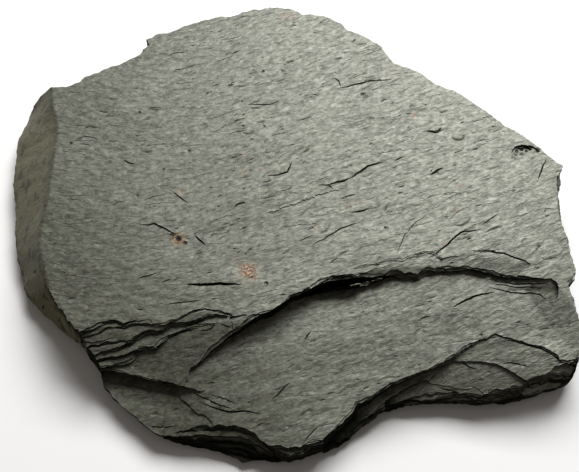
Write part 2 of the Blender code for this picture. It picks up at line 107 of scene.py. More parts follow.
FRONT_EDGE = [
    (121.2, -77), (119, -80.2), (116, -82.3), (110, -84), (103, -86), (95, -88), (88, -89),
    (80, -90), (72, -89), (65, -89), (58, -89.5), (50, -90), (43, -91.5), (38, -94), (33, -97.5),
    (28, -100.5), (25, -104), (20, -107), (12, -110.5), (5, -113), (0, -114.5), (-5, -113.5),
    (-12, -112.5), (-19, -113.5), (-24, -111), (-30, -109), (-40, -107), (-48, -105.5),
    (-55, -103), (-60, -100), (-63, -97), (-70, -92), (-75, -87), (-79, -82),
]
FACET_FOOT = [
    (-80.3, -77), (-82.7, -73.6), (-86, -69.8), (-88.5, -66), (-90.5, -63.4), (-93.5, -60.8),
    (-98, -58), (-101.5, -54.6), (-105.5, -51.2), (-110, -47.4), (-113.5, -43.6), (-117, -40),
    (-118.6, -37), (-119.8, -32), (-121.6, -27), (-123.8, -21.8), (-126.4, -12.5), (-127, -6),
    (-128, 0), (-129.5, 8), (-131.5, 15), (-132.5, 22), (-132.7, 30), (-133.3, 38), (-134, 44),
    (-132.4, 50), (-131, 55), (-130, 60),
]
GIRTH = BACK_RIM + RIGHT_EDGE + FRONT_EDGE + FACET_FOOT

FACET_RIDGE = [
    (-86.5, -68.5), (-88.6, -65.8), (-91.7, -61.4), (-95, -56.8), (-98.3, -52.2), (-101.5, -47.5),
    (-104, -42), (-106, -35), (-108.5, -29), (-110.5, -22), (-111, -15), (-110, -5), (-110, 10),
    (-110, 25), (-110, 40), (-112, 48), (-115, 55), (-116, 62), (-117, 68), (-118, 76),
]

GREAT_LIP = [
    (-41, -77.5), (-38.6, -76.8), (-36.9, -75), (-33.1, -71.3), (-29.3, -68.2), (-26.7, -66.4),
    (-25, -64.6), (-22.3, -63.3), (-18.8, -61), (-16.2, -58.9), (-12.2, -56.4), (-8, -54.8),
    (-5, -53), (0, -48.5), (8, -44.5), (14, -41), (20, -39), (28, -38), (37, -37.5), (45, -36),
    (50, -37.5), (56, -38), (60, -35.5), (67, -34.8), (72, -34.8), (78, -34.2),
]
SCOOP_LIP = [
    (82, -35.1), (86.5, -36.4), (90.7, -37.7), (95, -38.4), (99, -39.1), (103.4, -39.4),
    (107.7, -39.6), (112.4, -39.8),
]
SCOOP_FOOT = [
    (114.3, -41), (115.2, -44.1), (114.2, -48), (112.5, -50.6), (110.7, -48.2), (107.7, -45.3),
    (103.6, -43.9), (99.3, -43.9), (95, -43.4), (90.9, -42), (86.7, -41), (82.6, -38.6),
    (78.4, -37.1),
]
OUTER_RIGHT = [(113, -38.2), (120, -40), (140, -48), (140, -135)]

STAIR_1 = [
    (-98, -68.5), (-88.6, -65.8), (-86.3, -64.6), (-82.6, -63), (-80, -61.8), (-76, -60.3),
    (-72.3, -60.6), (-69.6, -61.6), (-67, -60.3), (-62.7, -59.6), (-58.8, -58.9),
]
STAIR_2 = [
    (-98, -70), (-87.5, -67.1), (-83, -65.8), (-79, -64.2), (-75.5, -62.6), (-72, -62.4),
    (-69, -63), (-66.5, -61.8), (-63, -61), (-59, -61.6), (-55.3, -61.8), (-52, -61),
    (-49.6, -59.8), (-46.8, -59.6), (-43.5, -57.4), (-41, -56.2), (-35.6, -54.4),
]
STAIR_3 = [
    (-98, -71.5), (-87.8, -67.9), (-83.1, -67.9), (-79.1, -67.7), (-75.8, -66.4), (-72, -66),
    (-68, -66.2),
]
STAIR_4 = [
    (-98, -74.5), (-86, -71.2), (-83.8, -70.5), (-79.1, -69.5), (-75.7, -68.5), (-72.2, -68.5),
    (-70.5, -67.8), (-67.8, -68.1), (-66.1, -67.4), (-64.4, -66.2), (-61, -65),
]
STAIR_5 = [
    (-98, -77), (-85, -73.4), (-82.3, -74.5), (-78.3, -73.1), (-75.4, -72.1), (-72.4, -71.2),
    (-70.3, -70.5), (-67.4, -69.1), (-65.2, -68.1), (-63.6, -66.5), (-62, -65), (-58.5, -63.6),
    (-55, -63.8), (-52.8, -63.1), (-51.6, -61.9), (-49.9, -61), (-45.3, -61.2), (-41.8, -60.6),
    (-39.2, -59.8), (-36.1, -59), (-33.6, -57.4), (-30.9, -56.8), (-27.8, -56.5), (-25, -57.3),
    (-22.4, -57.5), (-18, -56.8),
]
STAIR_6 = [
    (-98, -79), (-83, -76.6), (-80.6, -75.9), (-78, -75.1), (-74.7, -74.2), (-72.1, -73.7),
    (-68.6, -73.2), (-66.9, -72.2), (-65.3, -70.9), (-62.7, -70.1),
]
WEDGE_TOP = [
    (-98, -81.5), (-82, -78.2), (-80.2, -77.4), (-78.6, -77.8), (-75.6, -77.1), (-72.6, -76.4),
    (-69.6, -75.7), (-66.6, -75),
]
RAMP_TOP = [
    (-65.3, -73.8), (-64, -71.8), (-62.7, -70.6), (-60.1, -70), (-56.1, -70), (-54.9, -69),
    (-52.8, -67.1), (-50.5, -65.4), (-46, -64), (-40, -62.4), (-34, -61), (-27, -59.4), (-20, -57.6),
]
WEDGE_LIP = [
    (-98, -80), (-81, -78.6), (-77.5, -78.1), (-74, -78), (-70.8, -78.6), (-66.7, -79.5),
    (-62.2, -80.9), (-58.2, -81.9), (-54.3, -82.3), (-51.6, -83), (-48, -83.8), (-45, -84.6),
    (-41.4, -85.5), (-38.3, -86.2), (-34.8, -86.9),
]
LOW_RIGHT = [
    (-46.3, -86), (-45.4, -88.6), (-42.7, -90.8), (-40.9, -92.2), (-39.5, -94), (-37.6, -95.8),
    (-35.9, -96.3), (-34.1, -97.2), (-32, -99), (-30, -104), (-30, -135),
]
STAIRS_BELOW = [(-20, -90), (-98, -90)]
BED_LIP = GREAT_LIP[:14] + [
    (8, -45), (13, -44), (19, -43), (26, -42), (33, -40.6), (38, -38.6),
] + GREAT_LIP[19:]

SHELF_LIP = [
    (14, -108), (18, -104.5), (22, -101), (26, -97), (28, -93), (34, -91), (38, -88), (42, -85),
    (46, -83.5), (52, -81), (58, -78.5), (64, -76), (69, -73.5), (72, -71), (76, -68.5),
    (79.5, -66.4), (86.5, -64), (90.5, -66), (95, -67.4), (100, -69), (104, -70.5), (107.2, -72.1),
    (109.8, -74.1), (111.5, -76.5), (114.5, -77.6), (119, -77.6), (130, -77.6),
]
SHELF_STEP = [
    (69.5, -74), (75, -74.4), (79.3, -74.6), (83.3, -75.3), (86.2, -75.9), (89.3, -77.7),
    (92, -79.5), (94.2, -81.2), (96.8, -83.4), (100, -85.6), (104, -96),
]
CORNER_LEDGE = [
    (108, -81.1), (109.7, -78.7), (113.7, -77.8), (119, -77.4), (130, -77.4), (130, -92),
    (104, -92), (102, -85), (105.5, -83.2),
]
CORNER_BREAK = [
    (80, -92), (84.3, -90), (87.3, -89.4), (91.4, -88.4), (95.7, -87.3), (99.3, -85.1),
    (102.6, -84), (108.2, -82.8), (113.3, -82.5), (118, -82), (130, -81.5), (130, -102),
    (80, -102),
]
FRONT_HOLLOW = [
    (-52, -104.5), (-49.5, -103), (-42.5, -103.4), (-36.4, -102.7), (-31.5, -103), (-25.7, -102.9),
    (-20, -103.2), (-15.1, -104.9), (-11.8, -107.7), (-8.6, -110.6), (-4, -112.8), (0, -120),
    (-52, -120),
]
HOLLOW_STEP_BACK = 1.7
HOLLOW_STEP_DROP = 1.45
SHELF_CHIP = [
    (50, -84), (57, -81.6), (61.9, -83.3), (66.8, -84.4), (69.2, -85.4), (72.1, -86.1),
    (75, -86.2), (76.8, -85), (78.3, -86.4), (80.6, -88.1), (82, -95),
]

# Flakes broken off the top: outline, floor as three points (x, y, height), undercut of its walls.
# A floor with more points bends: each three of them give a plane, and the highest one counts.
FLAKES = {
    "stair_1": (
        STAIR_1 + [(-56, -62), (-60, -90), (-98, -90)],
        [(-86, -67, 21.4), (-58, -59.5, 23.8), (-52, -66, 23.2)], 0.3,
    ),
    "stair_2": (
        STAIR_2 + [(-25, -57.5)] + STAIRS_BELOW,
        [(-86, -68, 20.6), (-47, -61, 22.9), (-35.6, -56, 24.2)], 0.5,
    ),
    "stair_3": (
        STAIR_3 + [(-66, -70), (-70, -90), (-98, -90)],
        [(-87, -69, 19.7), (-68, -66.5, 21.5), (-87, -79, 18.7)], 0.3,
    ),
    "stair_4": (
        STAIR_4 + [(-58, -67), (-66, -90), (-98, -90)],
        [(-84, -71, 19.0), (-61, -65.5, 21.8), (-84, -81, 18.0)], 0.3,
    ),
    "stair_5": (
        STAIR_5 + STAIRS_BELOW, [(-82, -74, 17.6), (-51, -62, 20.4), (-33, -60.4, 22.2)], 0.5,
    ),
    "stair_6": (
        STAIR_6 + [(-61, -72), (-66, -90), (-98, -90)],
        [(-80, -77, 16.4), (-66, -73, 17.2), (-80, -87, 15.4)], 0.4,
    ),
    "wedge": (
        WEDGE_TOP + RAMP_TOP + [(-12, -60)] + STAIRS_BELOW,
        [
            (-78, -77, 14.6), (-41, -77, 14.8), (-48, -66, 15.6),
            (-65, -75, 15.2), (-41, -77.5, 16.8), (-50, -65, 19.2),
        ],
        0.4,
    ),
    "middle_bed": (
        BED_LIP + SCOOP_LIP + OUTER_RIGHT + [(-44, -135), (-44, -87)],
        [
            (0, -50, 15.6), (112, -45, 21.2), (0, -114, 13.8),
            (-41, -77, 15.2), (-20, -66, 15.2), (-40, -94, 12.8),
            (114, -41, 24.0), (126, -62, 24.0), (104, -50, 20.6),
        ],
        0.8,
    ),
    "mid_lamina": (
        GREAT_LIP[13:21] + [(38, -40), (33, -43), (19, -46), (6, -48)],
        [(5, -46, 20.2), (38, -38, 21.8), (20, -42, 19.7)], 0.2,
    ),
    "scoop": (
        GREAT_LIP[-1:] + SCOOP_LIP + SCOOP_FOOT,
        [
            (82, -35.1, 22.9), (112.4, -39.8, 23.1), (99, -43.9, 20.3),
            (84, -40, 19.8), (100, -44.5, 20.2), (112.5, -50, 20.2),
        ],
        0.3,
    ),
    "gap_end": (
        WEDGE_LIP[8:] + [(-30, -88), (-28, -100), (-28, -135), (-52, -135), (-52, -90)],
        [(-45, -88, 10.9), (-35, -87, 13.3), (-36, -97, 11.8)], 0.8,
    ),
    "low_front": (
        WEDGE_LIP[:11] + LOW_RIGHT + [(-98, -135)],
        [
            (-74, -80, 8.6), (-49, -88.5, 9.2), (-60, -100, 8.0),
            (-49, -90, 9.0), (-35, -97.5, 11.4), (-44, -103, 9.0),
        ],
        1.6,
    ),
    "front_hollow": (
        FRONT_HOLLOW, [(-42, -104, 9.6), (-20, -104, 10.6), (-25, -113, 8.2)], 0.2,
    ),
    **{
        f"hollow_bed_{i}": (
            [(x, y - HOLLOW_STEP_BACK * i) for x, y in FRONT_HOLLOW[:-2]] + FRONT_HOLLOW[-2:],
            [
                (-42, -104, 9.6 - HOLLOW_STEP_DROP * i), (-20, -104, 10.6 - HOLLOW_STEP_DROP * i),
                (-25, -113, 8.2 - HOLLOW_STEP_DROP * i),
            ],
            0.2,
        )
        for i in range(1, 5)
    },
    "shelf": (
        SHELF_LIP + [(140, -77), (140, -135), (14, -135)],
        [(60, -80, 13.4), (88, -62, 19.3), (112, -78, 19.1)], 0.6,
    ),
    "shelf_step": (
        SHELF_STEP + [(60, -100), (58, -82), (64, -76)],
        [(72, -74, 14.8), (96, -84, 14.6), (80, -89, 11.8)], 0.3,
    ),
    "shelf_chip": (
        SHELF_CHIP + [(40, -100), (40, -90)],
        [(57, -81, 11.2), (79, -87, 11.9), (60, -90, 9.2)], 0.3,
    ),
    "corner_ledge": (
        CORNER_LEDGE, [(105, -83, 16.4), (118, -78, 17.6), (112, -85, 15.6)], 0.8,
    ),
    "corner_break": (
        CORNER_BREAK, [(100, -85, 9.6), (118, -82, 9.8), (100, -91, 4.0)], 0.6,
    ),
    "sheet_1": (
        [(28, -34.5), (35, -33.5), (43, -31), (50, -30.5), (55, -27.5), (60, -27), (66, -30),
         (66, -40), (28, -41)],
        [(28, -35, 23.7), (60, -27, 23.4), (50, -38, 22.9)], 0.2,
    ),
    "sheet_2": (
        [(30, -37), (40, -33), (50, -32), (57, -31.5), (62, -33), (66, -33), (66, -40),
         (30, -41)],
        [(30, -37, 22.8), (66, -33, 22.8), (50, -38, 21.8)], 0.2,
    ),
    "sheet_3": (
        [(65, -30), (73, -28.5), (80, -26.5), (88, -27), (95, -28.5), (104, -33), (96, -40),
         (65, -40)],
        [(65, -30, 23.3), (100, -32, 23.9), (80, -37, 22.6)], 0.2,
    ),
    "hollow": (
        [(102, 18), (103.5, 26), (105.2, 29.7), (109, 31), (113.5, 30), (117, 27.5), (115.5, 25),
         (110, 22), (106, 18)],
        [(103, 20, 23.6), (110, 30, 23.0), (114, 22, 23.9)], 0.0,
    ),
    "hollow_pit": (
        [(104.5, 26), (107, 29.7), (112, 29.8), (114, 28.5), (110, 26.5), (107, 24.5)],
        [(105, 25, 22.9), (112, 29.5, 22.3), (108, 24, 22.9)], 0.0,
    ),
    "back_notch": (
        [(-80, 90), (-74, 89), (-71, 93), (-72, 97), (-80, 97)],
        [(-80, 90, 18.0), (-71, 93, 21.0), (-76, 97, 18.0)], 0.0,
    ),
    "right_bevel": (
        [(126.2, 18), (123.6, 13), (122.4, 8), (121.4, 3), (120.7, -4), (121.2, -10), (122.6, -17),
         (123.6, -22), (124.4, -27), (140, -30), (140, 18)],
        [(121.5, 3, 22.8), (121.5, -20, 23.4), (124, 3, 21.0)], 0.0,
    ),
}

# Beds lost from the underside near its edges, which leave the rest of it flat.
UNDERSIDE = {
    "lower_left_lift": (
        [(-140, 20), (-122, 14), (-112, -16), (-98, -38), (-74, -62), (-52, -86), (-44, -130),
         (-140, -130)],
        [(-118, 0, 1.6), (-70, -70, 1.6), (-100, -55, 4.4)],
    ),
    "front_lift": (
        [(40, -135), (46, -86), (60, -80), (84, -80), (102, -74), (112, -60), (140, -58),
         (140, -135)],
        [(60, -80, 1.2), (110, -62, 1.2), (100, -86, 2.6)],
    ),
    "back_lift": (
        [(-30, 140), (-24, 108), (0, 104), (26, 96), (50, 76), (74, 60), (130, 60), (130, 140)],
        [(0, 104, 1.2), (60, 70, 1.2), (40, 100, 2.8)],
    ),
}

# Named cracks and slits: path, half width, depth.
CRACKS = {
    "long_slit": ([(-44, -42.5), (-38, -42.8), (-30, -42.2), (-21, -42.5)], 0.75, 1.4),
    "middle_streak_1": ([(18, 9), (24, 10.6), (28, 12.4)], 0.6, 0.7),
    "middle_streak_2": ([(28, 12.6), (33, 16), (36, 19), (43, 21)], 0.6, 0.8),
    "ledge_crack": (
        [(61, -29), (64, -27.4), (68, -24), (72, -20), (76, -16.5), (85, -15.5)], 0.45, 0.9,
    ),
    "ledge_crack_end": ([(86, -12.5), (93, -7.6)], 0.35, 0.4),
    "hairline": ([(62, -6.5), (55, -12.5), (51, -18), (47, -27)], 0.25, 0.3),
    "pocket_line": ([(-66, -13), (-60, -12.5), (-55, -15), (-50, -18)], 0.5, 0.7),
    "pocket_tail": ([(-42, -18), (-37, -23)], 0.5, 0.7),
    "small_slit": ([(-10, 13.6), (-6, 13.8), (-1, 15.5), (1, 21)], 0.5, 0.8),
    "curved_slit": ([(-77, 22.5), (-75, 21), (-72, 20.2)], 0.45, 0.6),
    "right_dash": ([(65, 14), (68, 16.5), (71, 18)], 0.6, 0.8),
    "right_pit": ([(65, 39.2), (68, 38.6), (70, 38.6), (72, 41)], 0.8, 0.9),
    "mid_dash": ([(28, -6), (32, -5.5), (36, -3.8)], 0.5, 0.6),
    "low_dash": ([(13, 8.5), (18, 8.5), (20, 6)], 0.4, 0.4),
    "thin_dash": ([(24, 2), (30, 3.5)], 0.4, 0.4),
    "back_line": ([(24, 64.5), (32, 67), (40, 69.5), (50, 70)], 0.5, 0.6),
    "back_fork": ([(22, 71), (24, 69.5), (25, 66)], 0.4, 0.4),
    "slope_line": ([(10, -23), (15, -20), (22, -15), (28, -12), (32, -11)], 0.4, 0.4),
    "left_dash": ([(-53, 5), (-50, 2), (-46, -1)], 0.4, 0.5),
    "bed_crack": ([(70, -51), (76, -47.8), (80, -46), (88, -44.3)], 0.5, 0.8),
    "bed_dash": ([(56, -56), (60, -54.5)], 0.4, 0.5),
    "bed_tick": ([(6.5, -64.5), (9, -60.5)], 0.35, 0.5),
    "bed_line": ([(0, -83), (-5, -88.5), (-7, -90)], 0.4, 0.5),
    "bed_fork": ([(6, -110), (9, -105), (12, -102)], 0.35, 0.4),
    "crinkle_1": ([(-40, -87), (-34, -90), (-29, -92.5), (-24, -94)], 0.4, 0.6),
    "crinkle_2": ([(-36, -91.5), (-30, -94), (-25, -95.5), (-18, -95), (-12, -96.5)], 0.45, 0.7),
    "crinkle_3": ([(-33, -88), (-28, -89.5), (-22, -92)], 0.3, 0.5),
    "low_line": ([(-61, -101), (-56, -100.5), (-50, -100.5), (-46, -100)], 0.35, 0.5),
    "hollow_crack": ([(119, 22), (117, 18.5), (115, 14), (114, 11)], 0.4, 0.6),
    "stair_line": ([(-65, -40), (-57, -37)], 0.4, 0.4),
    "stair_line_2": ([(-52, -52), (-38, -50)], 0.4, 0.4),
    "scoop_line_1": ([(86, -38.4), (92, -39.8), (98, -40.7), (104, -41.1), (110, -41.5)], 0.35, 0.6),
    "scoop_line_2": ([(88, -40.2), (93, -41.3), (98, -42.2), (103, -42.5), (108, -43.2)], 0.3, 0.5),
    "scoop_line_3": (
        [(86.7, -42.2), (90.5, -43.2), (95, -44.6), (99.3, -45.1), (103.6, -45.1), (107, -46.5),
         (109.6, -49)],
        0.4, 0.6,
    ),
    "shelf_crack": ([(87.3, -76.1), (91.5, -75.7), (95.5, -76.6), (99.5, -77.9)], 0.35, 0.5),
    "ramp_fold_1": ([(-45.3, -61.4), (-41.8, -60.9), (-39.2, -60), (-36, -60.2), (-32, -60)], 0.3, 0.5),
    "ramp_fold_2": ([(-37.8, -62.8), (-34.7, -62.8), (-32.9, -62.2), (-30.4, -59.8)], 0.35, 0.6),
    "ramp_fold_3": ([(-29.1, -60.2), (-26.4, -61.5), (-23.2, -62.4), (-21.5, -61.9)], 0.35, 0.5),
    "ramp_line": ([(-52, -66), (-47, -63.6), (-43, -62)], 0.3, 0.4),
    "shelf_line": ([(72, -74.5), (75, -76.5), (78, -77.5)], 0.4, 0.5),
    "shelf_chip_line": ([(62, -84.5), (68, -86.5), (71, -88.5)], 0.4, 0.5),
    "back_dash": ([(-20, 55), (-10, 55), (-5, 57)], 0.4, 0.4),
}

# Small pits: x, y, radius.
PITS = [
    (-13, 76, 0.8), (-3.5, 76, 0.8), (-23, 57, 0.7), (-40, 62, 0.7), (-22, 42, 0.7),
    (-12, 42, 0.7), (-58, 17, 0.7), (-69, 2.5, 0.7), (42.5, -14, 0.8), (35.5, 60.7, 1.2),
    (-103, 32, 0.9), (-72, 50, 0.9), (-47, 27.5, 0.9), (106.5, 28, 1.0), (109, 29, 1.1),
    (111, 28, 0.9), (108.5, 26, 1.0), (106, 25.5, 0.8), (113, 29.3, 0.8), (116, 27.4, 1.2),
    (105, 23.5, 0.8), (-49, -20, 1.6),
    (-52, -18, 1.2), (-46, -22, 1.2), (-10, -42, 1.1), (-112, -33, 0.8), (-108, -47, 0.8),
]

# Rust and other stains: x, y, radius, strength.
RUST_SPOTS = [
    (0, 113, 4.5, 0.55), (59.5, 48.5, 2.4, 0.7), (77.5, 8, 1.6, 0.9), (31, 67.5, 1.8, 0.5),
    (53, 73, 1.6, 0.5), (52, 77, 1.6, 0.5), (33, -0.5, 1.6, 0.8), (27, -3.5, 1.8, 0.5),
    (75, -5, 3.0, 0.35), (-22, 26, 1.6, 0.7), (-14, 17.5, 1.5, 0.7), (-21, 16, 2.6, 0.4),
    (-50, 5, 2.2, 0.6), (12, -13.5, 1.6, 0.7), (68, -22, 2.2, 0.6), (-49, -20, 5.0, 0.9),
    (-18, -36, 6.0, 0.95), (-21, -33, 3.0, 0.6), (-15, -39, 3.0, 0.6),
]

LOWEST_FLOOR = 3.4

# Slivers lost along the brinks: line, share of it that they lie on, number, widths, drops.
BRINKS = [
    ("middle_bed", 0.0, 0.27, 17, (0.5, 1.9), (0.4, 0.9)),
    ("mid_lamina", 0.0, 0.5, 5, (0.5, 1.4), (0.3, 0.6)),
    ("sheet_1", 0.0, 0.5, 5, (0.5, 1.5), (0.2, 0.4)),
    ("sheet_3", 0.0, 0.6, 6, (0.5, 1.5), (0.2, 0.4)),
    ("shelf", 0.0, 0.40, 15, (0.5, 1.6), (0.4, 0.8)),
    ("low_front", 0.0, 0.22, 4, (0.4, 1.0), (0.3, 0.6)),
    ("stair_1", 0.04, 0.34, 7, (0.5, 1.3), (0.3, 0.7)),
    ("stair_2", 0.04, 0.42, 11, (0.5, 1.5), (0.3, 0.8)),
    ("stair_4", 0.04, 0.34, 6, (0.5, 1.2), (0.3, 0.6)),
    ("stair_5", 0.04, 0.40, 12, (0.5, 1.6), (0.3, 0.8)),
    ("stair_6", 0.04, 0.34, 6, (0.5, 1.2), (0.3, 0.6)),
    ("wedge", 0.04, 0.36, 7, (0.5, 1.4), (0.3, 0.7)),
    ("scoop", 0.0, 0.36, 5, (0.5, 1.4), (0.3, 0.7)),
    ("front_hollow", 0.0, 0.40, 10, (0.6, 2.2), (0.5, 1.2)),
    ("hollow_bed_2", 0.0, 0.40, 8, (0.5, 1.4), (0.4, 0.8)),
    ("corner_break", 0.0, 0.35, 8, (0.5, 1.5), (0.5, 1.2)),
]
# The same along the outline, as shares of it: the right and front edges, then the back.
RIM_CHIPS = [(0.40, 0.80, 40, (-3.0, -0.8), (0.4, 1.2)), (0.02, 0.38, 9, (-2.2, -0.6), (0.2, 0.5))]
SCALE_COUNT = 190
SCALE_SEED = 4

DASH_COUNT = 300
DASH_SEED = 11

# ---------------------------------------------------------------- lines and patterns


def smooth_step(value):
    """0 below 0, 1 above 1, and an even curve between."""
    value = np.clip(value, 0.0, 1.0)
    return value * value * (3 - 2 * value)


def rough_line(points, step, height, seed, closed=True):
    """The line in short steps, each pushed aside a little, as a broken edge is."""
    corners = [Vector(point) for point in points]
    if closed:
        corners.append(corners[0])
    line = []
    for start, end in zip(corners, corners[1:]):
        length = (end - start).length
        side = Vector((end.y - start.y, start.x - end.x)) / length
        pieces = max(1, round(length / step))
        for i in range(pieces):
            place = start.lerp(end, i / pieces)
            coarse = noise.noise(Vector((place.x / 3.4, place.y / 3.4, seed)))
            fine = noise.noise(Vector((place.x / 1.2, place.y / 1.2, seed + 5.0)))
            line.append(place + side * height * (coarse + 0.55 * fine))
    if not closed:
        line.append(corners[-1])
    return np.array([tuple(point) for point in line])


def inside(outline, x, y):
    """Which of the points lie inside a closed outline."""
    found = np.zeros(len(x), bool)
    low, high = outline.min(0), outline.max(0)
    near = np.flatnonzero((x > low[0]) & (x < high[0]) & (y > low[1]) & (y < high[1]))
    px, py = x[near], y[near]
    crossed = np.zeros(len(near), bool)
    for (ax, ay), (bx, by) in zip(outline, np.roll(outline, -1, 0)):
        if ay != by:
            between = (py >= min(ay, by)) & (py < max(ay, by))
            crossed ^= between & (px < ax + (py - ay) * (bx - ax) / (by - ay))
    found[near] = crossed
    return found


def distance_to(path, x, y):
    """How far each point lies from an open path."""
    best = np.full(len(x), np.inf)
    for (ax, ay), (bx, by) in zip(path, path[1:]):
        dx, dy = bx - ax, by - ay
        share = np.clip(((x - ax) * dx + (y - ay) * dy) / (dx * dx + dy * dy), 0, 1)
        best = np.minimum(best, np.hypot(x - ax - share * dx, y - ay - share * dy))
    return best


def plane_through(points):
    """Height above any (x, y) of the plane through three points."""
    a, b, c = (Vector(point) for point in points)
    normal = (b - a).cross(c - a)
    return lambda x, y: a.z - (normal.x * (x - a.x) + normal.y * (y - a.y)) / normal.z


def floor_height(floor, x, y):
    """Height of a flake's floor: the highest of its planes."""
    planes = [plane_through(floor[i:i + 3])(x, y) for i in range(0, len(floor), 3)]
    return np.maximum.reduce(planes)


def grain_slope(x, y):
    """The direction of the grain at (x, y), as an angle above +X."""
    left = np.clip((-30 - x) / 80, 0, 1)
    front = np.clip((-40 - y) / 25, 0, 1)
    return np.radians(23 - 28 * left - 10 * front)


# ---------------------------------------------------------------- cracks and dashes


def taper(count):
    """Widths along a crack, from thin ends to a full middle."""
    return [
        0.25 + 0.75 * max(0.0, math.sin(math.pi * i / (count - 1))) ** 0.6 for i in range(count)
    ]


def scattered_dashes():
    """Short slits along the grain, thicker in some places than in others."""
    source = random.Random(DASH_SEED)
    dashes = []
    while len(dashes) < DASH_COUNT:
        x, y = source.uniform(-106, 118), source.uniform(-104, 112)
        crowd = noise.noise(Vector((x / 42, y / 42, 9.0))) + (0.25 if x > -40 else -0.1)
        if source.random() > 0.45 + crowd:
            continue
        angle = float(grain_slope(x, y)) + source.gauss(0, 0.16)
        length = 1.4 + source.expovariate(1 / 1.5)
        bend = source.gauss(0, 0.12)
        steps = max(2, round(length / 0.8))
        path = [(x, y)]
        for i in range(steps):
            turn = angle + bend * (i - steps / 2)
            last = path[-1]
            path.append((last[0] + 0.8 * math.cos(turn), last[1] + 0.8 * math.sin(turn)))
        dashes.append((path, source.uniform(0.2, 0.42), source.uniform(0.15, 0.5)))
    return dashes


def crack_rows(path, half_width):
    """Points down the middle and both sides of a crack."""
    line = rough_line(path, EDGE_STEP, CRACK_WANDER, 3.0, closed=False)
    away = np.gradient(line, axis=0)
    away = np.stack([-away[:, 1], away[:, 0]], 1)
    away /= np.linalg.norm(away, axis=1, keepdims=True)
    widths = np.array(taper(len(line)))[:, None] * half_width
    return line, np.concatenate([line, line + away * widths, line - away * widths])


# ---------------------------------------------------------------- the flat pattern


def girth_line():
    return rough_line(GIRTH, GIRTH_STEP, 0.55, 21.0)


def flake_lines():
    """Each flake's broken outline, named as the flake is."""
    lines = {}
    for i, (name, flake) in enumerate(FLAKES.items()):
        lines[name] = rough_line(flake[0], EDGE_STEP, 0.5, 2.0 * i)
    return lines


def near_inside(girth, line, margin):
    """Which points of a line lie inside the slab, or only just outside it."""
    grown = girth * (1 + margin / 100)
    return inside(grown, line[:, 0], line[:, 1])


def line_pattern(girth, lines):
    """All points and edges that the triangles must follow."""
    points = [girth]
    count = len(girth)
    edges = [(i, (i + 1) % count) for i in range(count)]
    for line in lines:
        kept = near_inside(girth, line, 1.5)
        number = np.full(len(line), -1)
        number[kept] = count + np.arange(kept.sum())
        points.append(line[kept])
        count += int(kept.sum())
        for i in range(len(line)):
            a, b = number[i], number[(i + 1) % len(line)]
            if a >= 0 and b >= 0:
                edges.append((int(a), int(b)))
    return np.concatenate(points), edges


def spread_points(girth, step, seed):
    """A staggered grid of points inside an outline, each a little out of place."""
    low, high = girth.min(0), girth.max(0)
    rows = np.arange(low[1], high[1], step * 0.866)
    columns = np.arange(low[0], high[0], step)
    x, y = np.meshgrid(columns, rows)
    x = x + step / 2 * (np.arange(len(rows)) % 2)[:, None]
    source = np.random.default_rng(seed)
    x = (x + source.uniform(-0.22, 0.22, x.shape) * step).ravel()
    y = (y + source.uniform(-0.22, 0.22, y.shape) * step).ravel()
    held = inside(girth, x, y)
    return np.stack([x[held], y[held]], 1)


def clear_of(points, taken, gap):
    """The points that keep a gap from those already taken."""
    tree = KDTree(len(taken))
    for i, (x, y) in enumerate(taken):
        tree.insert((x, y, 0.0), i)
    tree.balance()
    kept = [tree.find((x, y, 0.0))[2] > gap for x, y in points]
    return points[np.array(kept)]


def cut_pattern(points, edges, outline):
    """Triangles over the points that follow the edges, kept where they lie inside the outline."""
    flat = [Vector((float(x), float(y))) for x, y in points]
    found = delaunay_2d_cdt(flat, edges, [], 0, 1e-5)
    places = np.array([tuple(place) for place in found[0]])
    triangles = np.array(found[2])
    middle = places[triangles].mean(1)
    held = inside(outline, middle[:, 0], middle[:, 1])
    return places, triangles[held], found[3]


# ---------------------------------------------------------------- heights


def facet_height(x, y):
    """Height of the sloping left facet, from its ridge down to its foot, and none elsewhere."""
    ridge = np.array(FACET_RIDGE)
    outline = np.array(FACET_RIDGE + [(-130, 90), (-150, 60), (-150, -20), (-110, -80), (-86, -80)])
    held = inside(outline, x, y)
    height = np.full(len(x), np.inf)
    from_ridge = distance_to(ridge, x[held], y[held])
    from_foot = distance_to(np.array(FRONT_EDGE[-1:] + FACET_FOOT), x[held], y[held])
    share = from_ridge / np.maximum(from_ridge + from_foot, 1e-6)
    height[held] = TOP - (TOP - GIRTH_HEIGHT) * share
    return height


def face_swell(x, y):
    """How far the cleaved faces rise or fall at (x, y), in millimetres."""
    along = x * math.cos(GRAIN_ANGLE) + y * math.sin(GRAIN_ANGLE)
    across = y * math.cos(GRAIN_ANGLE) - x * math.sin(GRAIN_ANGLE)
    swell = noise.noise(Vector((x / SWELL_LENGTH, y / SWELL_LENGTH, 4.0)))
    ripple = noise.noise(Vector((along / (3 * RIPPLE_LENGTH), across / RIPPLE_LENGTH, 7.0)))
    return SWELL_HEIGHT * swell + RIPPLE_HEIGHT * ripple


def fine_relief(x, y):
    """The wavy grain of the faces that is large enough to model."""
    slope = float(grain_slope(x, y))
    along = x * math.cos(slope) + y * math.sin(slope)
    across = y * math.cos(slope) - x * math.sin(slope)
    waves = noise.noise(Vector((along / 14.0, across / 4.5, 1.0)))
    chips = noise.noise(Vector((along / 7.0, across / 2.4, 5.0)))
    return 0.16 * waves + 0.07 * chips


